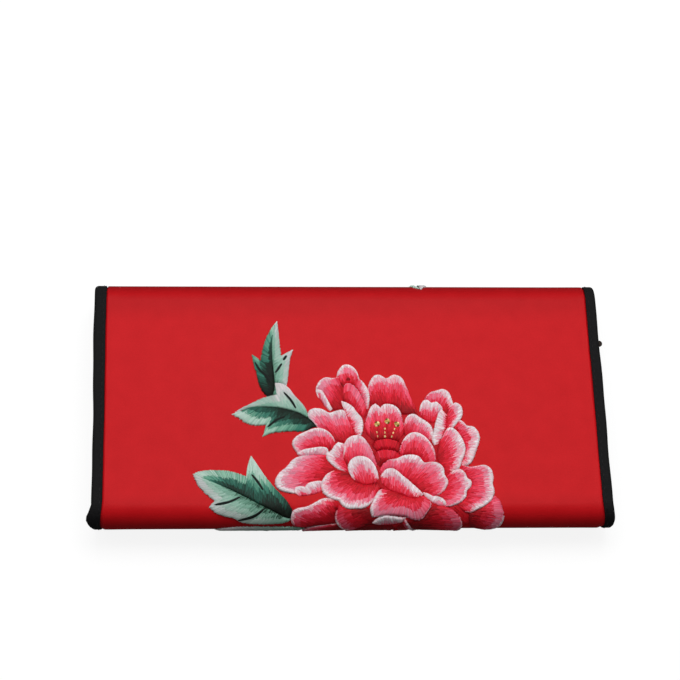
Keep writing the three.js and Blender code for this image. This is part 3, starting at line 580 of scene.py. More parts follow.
# The embroidery's outlines, in millimetres: across from the purse's middle, and back from the front
# crease along the satin. A petal's rim and foot run the same way round it. Later petals lie on top.
petalTable = [  # the node, how pale it is (its own tone, and for the petals low at the front crease painted shade as well), its outer rim and the edge that goes under a neighbour
    ("crown", -0.08, [(7, 44), (7.1, 48.5), (9, 52.2), (11.4, 52.8), (13.9, 51.3), (16.8, 52.9),
      (19.8, 51.5), (21.2, 48), (22.8, 43.8), (24.6, 39)],
     [(25.6, 35.6), (13, 37), (8, 38)]),
    ("crest_tip", 0, [(-5.2, 51.5), (-4.4, 54.6), (-2.6, 56.9), (-0.6, 57.2), (1.2, 56.3), (2.8, 54),
      (3.5, 51.2)],
     [(1.5, 47.5), (-2.5, 47.5)]),
    ("crest_left", 0, [(-4.6, 51.8), (-7, 51.4), (-9.6, 51.7), (-12, 49.8), (-13.1, 46.8), (-12.4, 43.5)],
     [(-8, 38), (-3, 37.6), (-2, 44)]),
    ("crest_right", 0.02, [(2.6, 51.3), (4.2, 50.6), (5.8, 48.4), (7, 45.8), (7.3, 42.5), (6.6, 38.5)],
     [(3, 38), (1, 44)]),
    ("crest_middle", -0.06, [(-2.8, 47), (-1.6, 49), (0.4, 49), (2.4, 47), (4.4, 43.8), (5.6, 40.5),
      (6, 36.5)],
     [(4, 33), (0, 35.5), (-3, 40)]),
    ("crest_curl", 0.4, [(-12.8, 46.6), (-10.9, 46.2), (-9.6, 43.8), (-8.2, 41), (-7, 38.4)],
     [(-8, 37.6), (-9.8, 39.6), (-12, 43.4)]),
    ("outer_right", 0.1, [(39.5, 34), (42, 33.6), (44.2, 31.4), (46.4, 31.1), (48.2, 29), (48.7, 26.2),
      (47.8, 23), (46.8, 20.4), (45.6, 17.2), (43.8, 15.3), (41.6, 15)],
     [(40.2, 18), (40.8, 24), (38, 31)]),
    ("right_crest", 0.05, [(28.4, 43), (30.6, 45.4), (33.2, 46.2), (35.8, 46.8), (37.8, 45.2),
      (38.6, 42.6), (39.2, 40)],
     [(37, 36), (33, 37.5), (29, 39)]),
    ("right_side", 0.2, [(38.4, 39.8), (40.2, 41.2), (42, 40), (42.7, 37.6), (42.1, 34.9), (40.6, 33),
      (38.6, 30.5)],
     [(36, 30), (36.4, 36)]),
    ("right_front", 0.18, [(26.2, 37.4), (26.7, 40), (27.8, 41.9), (29.4, 42.2), (30.9, 41),
      (32.6, 41.5), (34.5, 39.8), (35, 37.6)],
     [(32.5, 32.5), (29, 33), (26.5, 35.6)]),
    ("low_outer", -0.06, [(52, 3.5), (54.6, 1.6), (56, -2), (56.5, -5.6), (55.2, -8.8), (52.4, -10.8),
      (49.4, -11.6)],
     [(44, -10), (43.5, -3.5), (49, 0.5)]),
    ("low_right", 0, [(41.2, 15.4), (44.4, 14.5), (47.2, 14.8), (50.2, 15.2), (52.4, 13.6),
      (53.1, 10.6), (52.7, 7.6), (53.2, 4.6), (52, 1.2), (49.4, -1), (46.6, -2.4), (43.8, -3.5),
      (41.2, -3)],
     [(38, 0), (39, 8), (39.5, 13)]),
    ("right_big", 0.05, [(34, 25.5), (36.6, 30.2), (38.8, 30.4), (41.2, 27.8), (42.9, 23.6),
      (42.9, 20.6), (41.4, 16.8), (40.2, 13.8), (38, 11.5)],
     [(33, 13), (32, 18), (32.4, 22)]),
    ("inner_right", 0.05, [(20.2, 31.5), (20.9, 34.4), (22.2, 36), (24.2, 36.3), (26.3, 34.8),
      (28.6, 33.2), (30.3, 31.4), (31, 28.8), (30.6, 26)],
     [(28, 24), (21.5, 25), (19.8, 28.5)]),
    ("blade", 0.38, [(31.2, 23.2), (30.4, 25.4), (31.2, 29.6), (32.2, 33.6), (33.4, 37), (34.6, 38)],
     [(36.8, 35.6), (36, 31), (34.6, 27.2), (32.8, 24.2)]),
    ("left_upper", 0.1, [(-12.6, 30.8), (-14.6, 33.4), (-16.4, 35.6), (-15.8, 37.9), (-13.6, 38.7),
      (-11, 38.3), (-8.4, 36.8), (-5.8, 37.6), (-3, 38), (0.5, 36), (2.5, 31)],
     [(2, 26), (-3, 24.5), (-8, 26.5)]),
    ("left_curl", 0.32, [(-3.6, 41.8), (-1.4, 41), (0.8, 39.4), (2.2, 37.2), (4.1, 34.6), (4.6, 31.8),
      (4.2, 28.8), (3.4, 27.2)],
     [(1.8, 27.6), (0.4, 30.4), (-1.6, 35), (-3, 39.2)]),
    ("heart", -0.07, [(5.6, 28.5), (5.1, 32), (6.4, 36.2), (7.6, 39.2), (9.3, 40.7), (10.8, 39.4),
      (11.4, 38.7), (12.4, 40.2), (14.6, 40.5), (17, 39.6), (18.6, 37.6), (19.2, 35), (19.9, 31.5),
      (19.7, 27.8)],
     [(17.5, 24.5), (12.5, 24), (8, 25)]),
    ("heart_base", -0.3, [(7.6, 22.6), (8.8, 25.2), (11, 25.9), (13.2, 26.2), (15.6, 25.8),
      (17.8, 24.8), (18.8, 22.2)],
     [(17, 20), (10, 20)]),
    ("heart_lip", -0.25, [(7.8, 18.5), (9.2, 20.8), (12.2, 21.8), (15.4, 21.4), (18, 20.3), (19, 18.8)],
     [(16, 16), (10, 14.5)]),
    ("inner_low", -0.04, [(17.8, 19.4), (18.4, 23), (20.2, 26.6), (22.6, 28.5), (25, 28.7),
      (27.2, 27.5), (29.2, 25.4), (30.8, 22.6), (31.5, 19.4), (31.4, 15.5)],
     [(27, 14), (22, 17), (19, 18.2)]),
    ("ear", 0.08, [(-20, 20), (-21.8, 22), (-22.5, 24.8), (-20.8, 27.2), (-17.6, 29), (-14.4, 30.3),
      (-11.4, 30.4), (-8.8, 29), (-6.9, 26.5), (-6, 23.5)],
     [(-8, 21.5), (-14, 21)]),
    ("wing", 0.1, [(-9.6, 20.5), (-15, 20.4), (-19.6, 19), (-22.6, 17.4), (-25, 14.4), (-27.6, 12.2),
      (-29.2, 8.8), (-28.2, 6), (-25.6, 4.7), (-22, 4.2), (-17, 5.5)],
     [(-11, 8), (-7, 12.5), (-8, 17)]),
    ("ear_lip", 0.5, [(-20.8, 20.2), (-18.4, 21.7), (-15, 22.4), (-11.6, 22.8), (-9.4, 22.3), (-8.8, 20.6)],
     [(-9.8, 19.4), (-13, 19.6), (-17, 19.2), (-20, 19.2)]),
    ("wing_curl", 0.46, [(-22.2, 4.4), (-21.6, 6.3), (-19.8, 6.9), (-18, 6.6), (-16.8, 8.1),
      (-14.2, 8.9), (-11.6, 9)],
     [(-10.6, 6.5), (-12.4, 4.6), (-16, 3.5), (-20, 3)]),
    ("left_side", 0.12, [(-2, 24), (-3.6, 24.2), (-5.2, 24.7), (-6.8, 23.2), (-7.8, 21.5), (-9.4, 20),
      (-9.8, 18.2), (-8.2, 16), (-5.8, 14), (-3, 12.9)],
     [(-0.5, 12.6), (-0.5, 18)]),
    ("left_middle", 0, [(-3.4, 18.5), (-2.9, 22), (-2.4, 24.8), (-0.8, 26.8), (1.6, 27.6), (3.6, 27.2),
      (5.6, 25), (7.2, 22), (8.4, 18.8), (9.4, 15.2)],
     [(7, 11), (1, 11.5), (-2, 15)]),
    # low_left is made darker as painted shade at the front crease
    ("low_left", -0.14, [(-20.5, -9), (-22.8, -7.6), (-23.4, -5.2), (-22.8, -2.9), (-20.6, -1.8),
      (-17.4, -1.2), (-14.4, 0.3), (-12, 1.7), (-9.4, 2), (-7, 1)],
     [(-5, -3), (-6.5, -9), (-13, -9.5)]),
    ("under_left", -0.2, [(-6, -7.5), (-16, -9.2), (-19.2, -11.6), (-18.6, -15), (-14.8, -17.8),
      (-10, -18.4), (-6, -16.5)],
     [(-2, -13), (-3, -8)]),
    ("low_middle", -0.2, [(-5.6, -1), (-6.6, -3), (-7, -5.4), (-6, -8), (-4, -10.4), (-1, -12.2), (3, -13)],
     [(7.5, -9), (7.5, -3), (0, 0)]),
    ("under_middle", -0.2, [(-3, -13), (-1.6, -16.2), (2, -18.8), (7, -19.6), (12, -19), (15, -16),
      (16, -12)],
     [(14, -7.5), (5, -8.4)]),
    ("under_right", -0.22, [(15, -12.4), (16.4, -16.6), (20.4, -19.2), (26, -19.6), (31.4, -17.6),
      (34.4, -14.4)],
     [(28, -7), (18, -6.6)]),
    ("low_front", -0.2, [(34, -1), (37, -2.4), (39.4, -4.4), (40.8, -7.4), (40.6, -10.6),
      (38.8, -13.6), (35.4, -15.6)],
     [(26, -14), (22, -8), (26, -2)]),
    ("right_low", 0.02, [(36.8, 12), (39, 13.2), (41, 13.5), (42.6, 11.8), (43.2, 10), (44.6, 8.8),
      (44.4, 6.6), (42.9, 5), (42.4, 2.6), (40.8, 0.6), (38.2, -0.7), (35.4, -1.4), (32.5, -0.8)],
     [(30, 2), (33, 8)]),
    ("front_big", 0, [(10, 13), (11.2, 15.6), (13.6, 17.4), (16.8, 18), (19.4, 19.2), (22.4, 19.6),
      (25.2, 18.9), (27.2, 16.4), (30, 16.6), (32.6, 16.1), (34.4, 14.2), (34.7, 11.4), (35.9, 8.8),
      (34.8, 5.8), (32.6, 3.6), (29.6, 2.6)],
     [(25, 3), (19, 6), (12.5, 8.5)]),
    ("front_left", 0.02, [(-7.4, 13), (-10.2, 11.2), (-11.8, 8.2), (-11.7, 5), (-9.6, 2.4), (-7.2, 1.3),
      (-5.6, 1), (-4.4, -0.9), (-2.2, -2.1), (0.6, -2.1), (3.4, -2), (6, -0.6), (8.6, 2.6), (11.5, 5.5)],
     [(9, 8.5), (2, 9.5), (-1.5, 12)]),
    ("bottom", 0.03, [(12.6, 5.2), (10.4, 5.5), (8.6, 3.6), (7.3, 0.6), (6.1, -2.2), (6.8, -5),
      (10.5, -4.8), (15, -4.6), (19.4, -5.1), (22.6, -6.3), (25.4, -6), (27.4, -3.8), (29.2, -0.6),
      (27.5, 2.5)],
     [(23, 3.5), (16, 4.5)]),
    ("bottom_lip", 0.4, [(19.6, -5.2), (16.6, -5), (13.8, -4.6), (11, -4.6), (8.6, -5.7), (7, -7.2)],
     [(9, -8.3), (12.5, -8.4), (16, -7.9), (19, -7)]),
    ("tail", 0.2, [(19.2, -5.6), (20.8, -8), (22.6, -11.4), (24.6, -14.5)],
     [(22.6, -14.8), (20.2, -11.4), (18.4, -7.8)]),
    ("oval", 0.24, [(-0.5, 10.6), (-1.7, 14.2), (-1, 17), (0.8, 18.6), (3.4, 19.1), (6, 18.2), (8, 16),
      (9.2, 13), (9.7, 10)],
     [(8, 7.9), (5, 7.4), (2, 8.2)]),
    ("small_curl", 0.42, [(26.2, 4.4), (28, 3.8), (29.8, 2.8), (31.8, 2.6), (33.8, 1.6), (34.9, -0.3)],
     [(33.4, -1.2), (31.2, -0.8), (29, 0.6), (26.8, 2.8)]),
    ("front_curl", 0.24, [(10.6, 11), (12.4, 13.5), (14.8, 14.1), (16.8, 13.1), (19, 10.9), (21, 9.2),
      (23.4, 6.8), (25.2, 4.9), (26.4, 3.4)],
     [(24.6, 2.4), (22, 2), (18, 3.6), (13.6, 5.2), (10.8, 7.6)]),
]

petalRims = {  # shares of the way along each rim, and how far in its white stitches reach there
    "crown": [(0, 0.3), (0.16, 1.2), (0.25, 2), (0.35, 1.8), (0.41, 0.8), (0.48, 2), (0.6, 2), (0.68, 1),
      (0.8, 0.3), (1, 0.1)],
    "crest_tip": [(0, 0.6), (0.3, 1.4), (0.7, 1.4), (1, 0.6)],
    "crest_left": [(0, 0.2), (0.3, 1.2), (0.55, 1), (0.8, 1.2), (1, 0.6)],
    "crest_right": [(0, 0.3), (0.3, 1.4), (0.7, 1.2), (1, 0.4)],
    "crest_middle": [(0, 0.3), (1, 0.2)],
    "crest_curl": [(0, 1.6), (1, 1.6)],
    "outer_right": [(0, 0.6), (0.1, 1.4), (0.2, 0.8), (0.3, 2), (0.5, 2.4), (0.8, 2), (1, 1)],
    "right_crest": [(0, 0.3), (0.3, 0.8), (0.55, 1.8), (0.85, 1.6), (1, 0.8)],
    "right_side": [(0, 0.8), (0.3, 2.4), (0.7, 2.2), (1, 0.8)],
    "right_front": [(0, 0.3), (0.2, 1.8), (0.35, 2.4), (0.6, 2.2), (0.85, 2), (1, 0.6)],
    "low_outer": [(0, 0), (0.4, 0.2), (0.6, 0.8), (0.85, 1), (1, 0.3)],
    "low_right": [(0, 0.3), (0.25, 1.2), (0.38, 2), (0.55, 1.8), (0.8, 1.6), (0.92, 0.6), (1, 0.2)],
    "right_big": [(0, 0.3), (0.25, 1.4), (0.5, 3), (0.75, 2.2), (1, 0.8)],
    "inner_right": [(0, 0.3), (0.15, 1.4), (0.5, 2), (0.85, 1.8), (1, 0.6)],
    "blade": [(0, 1.5), (0.5, 3), (1, 2)],
    "left_upper": [(0, 0.6), (0.15, 1.6), (0.3, 2.6), (0.43, 2.2), (0.5, 1.2), (0.6, 2.2), (0.7, 1.6),
      (0.8, 0.6), (1, 0.1)],
    "left_curl": [(0, 2.4), (0.4, 2.4), (0.8, 2), (1, 1)],
    "heart": [(0, 0.1), (0.2, 0.4), (0.3, 1.8), (0.38, 3), (0.44, 1.6), (0.47, 1), (0.52, 2.6), (0.62, 2.6),
      (0.7, 1.6), (0.78, 0.4), (1, 0.1)],
    "inner_low": [(0, 0.1), (0.2, 0.6), (0.35, 1.8), (0.55, 1.4), (0.7, 0.8), (1, 0.1)],
    "ear": [(0, 0.6), (0.2, 1.4), (0.5, 1.2), (0.75, 1), (1, 0.2)],
    "wing": [(0, 0.2), (0.3, 1), (0.45, 2.2), (0.65, 2.6), (0.8, 2), (0.9, 1), (1, 0.3)],
    "ear_lip": [(0, 1.4), (1, 1.4)],
    "wing_curl": [(0, 1.6), (0.3, 2.8), (0.7, 2.4), (1, 1)],
    "left_side": [(0, 0.4), (0.2, 2.2), (0.5, 2.4), (0.7, 1.6), (1, 0.4)],
    "left_middle": [(0, 0.3), (0.2, 1.4), (0.35, 2.2), (0.5, 1.4), (0.65, 0.4), (1, 0.1)],
    "low_left": [(0, 0.4), (0.2, 1), (0.4, 1.6), (0.6, 1.2), (0.8, 1.6), (0.9, 1), (1, 0.2)],
    "under_left": [(0, 0.6), (1, 0.6)],
    "low_middle": [(0, 0.2), (0.4, 1), (0.7, 1), (1, 0.4)],
    "under_middle": [(0, 0.6), (1, 0.6)],
    "under_right": [(0, 0.6), (1, 0.6)],
    "low_front": [(0, 0), (0.4, 0.4), (0.7, 1.2), (1, 0.6)],
    "right_low": [(0, 0.3), (0.12, 1.6), (0.25, 1), (0.38, 2), (0.5, 1.2), (0.65, 0.8), (0.85, 0.5),
      (1, 0.2)],
    "front_big": [(0, 0.1), (0.15, 0.4), (0.25, 1.6), (0.38, 2), (0.46, 1), (0.54, 0.6), (0.62, 1.6),
      (0.8, 1.2), (0.92, 0.6), (1, 0.2)],
    "front_left": [(0, 0.6), (0.15, 1.6), (0.3, 1.8), (0.42, 1.2), (0.5, 1.8), (0.65, 2), (0.78, 1.2),
      (0.88, 0.4), (1, 0.1)],
    # painted shade: the white kept short along the lower rim, where it turns down the front crease
    "bottom": [(0, 0.2), (0.07, 0.4), (0.12, 2.2), (0.25, 2), (0.34, 0.6), (0.5, 0.2), (0.7, 0.2),
      (0.85, 0.4), (1, 0.2)],
    "bottom_lip": [(0, 1.6), (1, 1.6)],
    "tail": [(0, 0.8), (1, 0.8)],
    "oval": [(0, 1.2), (0.2, 2.4), (0.6, 2.8), (0.85, 1.8), (1, 0.6)],
    "small_curl": [(0, 1.6), (0.5, 2), (1, 1)],
    "front_curl": [(0, 0.6), (0.2, 2), (0.5, 2), (0.8, 2.2), (1, 1.4)],
}

petalFolds = {"crest_tip": [[(-1.3, 49.5), (-0.7, 50.4), (0, 49.6)]]}  # short dark strokes on a petal

leafTable = [  # the node, which half is dark, the midrib from tip to stalk, and its two edges
    ("top", (True, False), [(-27.5, 75.4), (-29, 70.5), (-29.6, 64), (-29.4, 57), (-28.9, 51),
      (-28.8, 46.5), (-29.6, 43)],
     [(-27.5, 75.4), (-29.8, 72), (-31.8, 68), (-33.3, 63.6), (-34.2, 58), (-37.4, 60.8), (-36.8, 56.6),
      (-35.8, 52.6), (-34.8, 48), (-33.6, 45), (-32, 43)],
     [(-27.5, 75.4), (-26.9, 70), (-26.5, 65), (-26, 60.2), (-21.5, 63), (-22.7, 58.6), (-23.3, 53.6),
      (-23.7, 49.6), (-24.2, 47)]),
    ("middle", (False, True), [(-45.2, 35.6), (-42.4, 37.3), (-38, 38.5), (-33, 38.8), (-28, 38.4),
      (-23, 37.3), (-19, 35.8), (-15.5, 33.4), (-12.6, 30.9)],
     [(-45.2, 35.6), (-41.8, 38), (-37.6, 40.3), (-33.8, 42.4), (-30.6, 43.4), (-28, 44), (-28.8, 48.9),
      (-26, 48.5), (-23.6, 46.6), (-21.4, 43.4), (-19, 40.6), (-17.4, 38), (-16.6, 35.4)],
     [(-45.2, 35.6), (-42.6, 33.8), (-40, 31.9), (-37, 31), (-34.6, 31), (-32.2, 31.2), (-33.6, 26.4),
      (-31, 27.6), (-26.6, 28.3), (-22, 28.5), (-18.6, 28.4), (-15.4, 29.6), (-12.6, 30.9)]),
    ("low", (True, False), [(-60, 11.6), (-55, 9.2), (-50, 7), (-45, 4.6), (-40, 2), (-35, -0.8),
      (-30, -3.2), (-25.5, -5.4), (-22.8, -6)],
     [(-60, 11.6), (-56.6, 12.8), (-52, 13.1), (-47.4, 12.9), (-43.4, 12), (-39.7, 10.5), (-39.2, 15),
      (-38, 18.9), (-35.6, 15), (-32.8, 10.6), (-29.6, 6.4), (-26.4, 2.8), (-23, -2.2), (-22.8, -6)],
     [(-60, 11.6), (-58.4, 7.6), (-56, 4.4), (-53.6, 2), (-51.8, 0.6), (-54, -1.7), (-51.4, -3.8),
      (-48, -5.1), (-44.8, -5.8), (-41.4, -7.6), (-36, -8.2), (-30, -8.2), (-25.6, -7.6), (-22.8, -6)]),
    ("bottom", (False, True), [(-52, -11.6), (-44, -12.8), (-34, -13.4), (-24, -13), (-16.5, -11.4)],
     [(-52, -11.6), (-46, -9.9), (-38, -9.4), (-28, -9.5), (-21, -9.7), (-16.5, -11.4)],
     [(-52, -11.6), (-46, -15.6), (-38, -18.2), (-28, -18.6), (-21, -16.4), (-16.5, -11.4)]),
    ("back", (False, True), [(28.9, 90.3), (27, 94), (28.4, 98.6), (32.6, 101.8), (38, 103.8), (45, 104.6),
      (52, 103.6)],
     [(28.9, 90.3), (30.6, 92), (31.4, 94.4), (32, 97.6), (36, 99), (41.6, 97.8), (44.6, 100.6),
      (52, 103.6)],
     [(28.9, 90.3), (26.6, 91.8), (25.2, 94), (25, 98), (27.4, 102), (29, 106.6), (34, 105.6),
      (40, 107.8), (46.6, 107.2), (52, 103.6)]),
]

veins = {  # dark strokes laid on the leaves, from the midrib outwards
    "top": [
        [(-29.6, 47.6), (-32, 51.4), (-34.6, 54.2), (-36.2, 57.4)],
        [(-28.6, 52.6), (-27.5, 54.2), (-25.8, 56.9)],
        [(-25.4, 58.1), (-24, 60.2)],
    ],
    "middle": [
        [(-20.6, 37.2), (-22.6, 41), (-25.6, 44.8)],
        [(-24.6, 34.6), (-28.4, 33), (-31.9, 30)],
    ],
    "low": [
        [(-41.4, 2.6), (-46, 0.2), (-51.9, -1)],
        [(-32.8, -2), (-37, -4.8), (-43, -6.4)],
        [(-33.4, 4.4), (-35.6, 8), (-38.2, 11.4)],
    ],
    "bottom": [[(-31, -13.2), (-36, -15.4), (-41, -16.2)]],
    "back": [[(33, 101.6), (31, 103.6), (30, 105.4)], [(39, 103.6), (41, 101.4), (42, 99.8)]],
}

threads = {
    "width": 0.44,
    "pitch": 0.34,  # between neighbours of a row
    "lift": 0.14,  # how high a thread stands on its padding
    "rowStep": 2.7,
    "rowLength": 4.3,
    "rag": 1.1,  # how far a row's ends straggle
    "jitter": 0.35,  # how far a stitch stands off its even place, as a share of the pitch
    "outlineStep": 0.6,  # between the points of an outline
    "edgeRag": 0.55,  # how far the outermost ends straggle
    "overhang": 0.15,  # how far they reach past the outline
    "tipPitch": 0.36,
    "tipRag": 0.4,  # how unequal the white stitches on a rim are
    "tipReach": 0.85,  # how much of what petalRims says they reach in
    "tipCoats": [(1.7, 0.45, 0.05), (1, 1, 0.08)],  # reach, whiteness and height of the two coats of them
    "tipLeast": 0.45,  # shorter ones are left out
    "tipFull": 1.1,  # the length from which they are quite white
    "rootRise": 0.3,  # height of the padding at a petal's foot
    "rimRise": 0.82,
    "riseCurve": 1.2,
    "leafRise": 0.5,
    "leafSlant": 0.24,  # how far a leaf's stitches lean towards its tip
    "groundRise": 0.12,
    "edgeRun": 0.8,  # width of the rounded edge
    "dip": 1.0,  # how far from its neighbour a petal starts to dip under it
    "dipHeight": 0.25,  # the share of its height that it keeps there
    "buried": 1.2,  # how deep under it the padding ends
    "endDip": 0.12,  # how far a thread's two ends go down into the cloth
    # painted shade: the padding under the threads is coloured this much darker
    "padShade": 0.7,
    "veinSpread": 0.3,  # between the threads of a vein
    "veinRise": 0.2,
    "veinCrown": 0.06,  # how much higher its middle thread is
    "toneSpread": 0.045,
    "shadeSpread": 0.075,
    "drawingBack": -0.4,  # how far the flower is moved along the satin
    "drawingLong": 0.992,  # and how much of its length it keeps
    "creaseShade": 0.84,  # painted shade: how much darker the petals' silk is painted where it turns down the front crease
    "creaseFrom": -1.0,  # and where along the strip that starts and is full
    "creaseFull": -4.0,
}

petalColours = [  # from the foot to the rim
    (0.0, linear(138, 4, 16)),
    (0.2, linear(184, 11, 28)),
    (0.4, linear(214, 25, 46)),
    (0.55, linear(230, 58, 84)),
    (0.7, linear(234, 96, 122)),
    (0.85, linear(230, 134, 156)),
    (1.0, linear(216, 150, 166)),
]
petalRun = [(0, -0.3), (0.14, -0.1), (0.28, 0), (0.7, 0), (0.86, -0.1), (1, -0.32)]
rimWhite = np.array(linear(233, 231, 233))
groundColours = [(0.0, linear(172, 10, 26)), (1.0, linear(190, 18, 32))]
darkLeafColours = [  # from the midrib to the edge
    (0.0, linear(15, 21, 16)),
    (0.25, linear(22, 39, 31)),
    (0.45, linear(32, 79, 66)),
    (0.62, linear(57, 121, 103)),
    (0.78, linear(104, 160, 136)),
    (0.9, linear(148, 188, 168)),
    (1.0, linear(182, 206, 194)),
]
lightLeafColours = [
    (0.0, linear(34, 62, 48)),
    (0.07, linear(80, 124, 104)),
    (0.2, linear(116, 162, 142)),
    (0.45, linear(146, 182, 166)),
    (0.7, linear(164, 184, 174)),
    (0.9, linear(188, 190, 190)),
    (1.0, linear(208, 200, 202)),
]
leafRuns = {  # the same shift from tip to stalk, for the dark half and the light one
    "top": [[(0, 0.3), (0.14, 0.12), (0.4, 0), (0.6, -0.06), (0.85, -0.3), (1, -0.5)],
            [(0, 0.15), (0.3, 0), (0.6, 0.08), (0.8, 0), (1, 0)]],
    "middle": [[(0, 0.34), (0.2, 0.22), (0.4, 0.1), (0.6, 0.04), (0.85, -0.1), (1, -0.5)],
               [(0, 0.15), (0.3, 0), (0.46, 0.3), (0.66, 0.24), (0.8, 0), (1, -0.2)]],
    "low": [[(0, 0.36), (0.14, 0.14), (0.34, 0.08), (0.45, 0.24), (0.56, 0.3), (0.64, 0.08), (0.8, -0.2),
             (1, -0.5)],
            [(0, 0.1), (0.3, 0), (0.75, -0.1), (1, -0.3)]],
    "bottom": [[(0, 0.1), (1, -0.1)], [(0, 0.3), (1, -0.2)]],
    "back": [[(0, 0.6), (0.2, 0.5), (0.4, 0), (1, -0.3)], [(0, 0.3), (0.3, 0.1), (1, -0.2)]],
}
veinGreen = linear(12, 20, 16)
foldCrimson = linear(136, 4, 16)


def curveThrough(points, spacing):  # a smooth line through the points, which keeps sharp corners
    p = np.array(points, float)
    steps = np.diff(p, axis=0)
    heading = np.arctan2(steps[:, 1], steps[:, 0])
    turn = np.abs((np.diff(heading) + np.pi) % (2 * np.pi) - np.pi)
    corners = [0] + [i + 1 for i, t in enumerate(turn) if t > 1.05] + [len(p) - 1]
    line = [p[:1]]
    for first, last in zip(corners, corners[1:]):
        run = p[first : last + 1]
        run = np.vstack([2 * run[0] - run[1], run, 2 * run[-1] - run[-2]])
        for a, b, c, d in zip(run, run[1:], run[2:], run[3:]):
            count = max(1, round(float(np.hypot(*(c - b))) / spacing))
            t = np.linspace(0, 1, count + 1)[1:, None]
            square, cube = 2 * a - 5 * b + 4 * c - d, 3 * b - a - 3 * c + d
            line.append(0.5 * (2 * b + (c - a) * t + square * t**2 + cube * t**3))
    return np.vstack(line)


def pointsAlong(line, share):
    run = np.concatenate([[0], np.cumsum(np.hypot(*np.diff(line, axis=0).T))])
    return np.stack([np.interp(share * run[-1], run, line[:, k]) for k in (0, 1)], -1)


def insideBy(points, outline):  # distance to an outline, positive inside it
    flat = points.reshape(-1, 2)
    ends = np.roll(outline, -1, 0)
    sides = ends - outline
    away = flat[:, None] - outline
    t = np.clip((away * sides).sum(-1) / np.maximum((sides**2).sum(-1), 1e-9), 0, 1)
    nearest = np.sqrt(((away - t[..., None] * sides) ** 2).sum(-1)).min(1)
    rises = (outline[:, 1] > flat[:, 1:]) != (ends[:, 1] > flat[:, 1:])
    slope = sides[:, 0] / np.where(sides[:, 1] == 0, 1e-9, sides[:, 1])
    crossed = rises & (flat[:, :1] < outline[:, 0] + (flat[:, 1:] - outline[:, 1]) * slope)
    return np.where(crossed.sum(1) % 2, nearest, -nearest).reshape(points.shape[:-1])


# A field of stitching: its stitches run from the foot line to the rim line, and covers lie over it.
class Field:
    def __init__(self, foot, rim, rise, colours, shift=0.0, slant=0.0, run=((0, 0), (1, 0)), shade=1.0):
        self.foot = foot
        self.rim = rim
        self.outline = np.vstack([rim, foot[::-1]])
        self.rise = rise  # height of the padding at the foot and at the rim
        self.colours = colours
        self.shift = shift  # paler above 0, darker below; on petals down at the front crease partly painted shade
        self.slant = slant  # how far back along the foot line a stitch starts
        self.run = run  # the same shift, along the foot line
        self.shade = shade  # painted shade: how much darker its colour is painted down the front crease
        self.covers = []

    def at(self, u, v):
        foot = pointsAlong(self.foot, np.clip(u + self.slant * (1 - u), 0, 1))
        return foot + (pointsAlong(self.rim, u) - foot) * np.asarray(v)[..., None]

    def long(self, u):
        return np.linalg.norm(self.at(u, np.ones_like(u)) - self.at(u, np.zeros_like(u)), axis=-1)

    def cover(self, p):  # how deep each point lies under a cover, or less than 0 beside it
        flat = p.reshape(-1, 2)
        depth = np.full(len(flat), -9.0)
        for outline in self.covers:
            near = ((flat > outline.min(0) - 2) & (flat < outline.max(0) + 2)).all(1)
            if near.any():
                depth[near] = np.maximum(depth[near], insideBy(flat[near], outline))
        return depth.reshape(p.shape[:-1])

    def height(self, p, v):
        edge = np.clip(insideBy(p, self.outline) / threads["edgeRun"], 0, 1)
        high = self.rise[0] + (self.rise[1] - self.rise[0]) * np.clip(v, 0, 1) ** threads["riseCurve"]
        under = self.cover(p)
        kept = threads["dipHeight"] + (1 - threads["dipHeight"]) * ease(-under / threads["dip"])
        return high * np.sqrt(edge * (2 - edge)) * kept * (under < threads["buried"]) + 0.03

    def colour(self, u, v):
        stops = np.array([stop for stop, _ in self.colours])
        tones = np.array([tone for _, tone in self.colours])
        place = np.clip(v + self.shift + np.interp(u, *zip(*self.run)), 0, 1)
        return np.stack([np.interp(place, stops, tones[:, k]) for k in range(3)], -1)


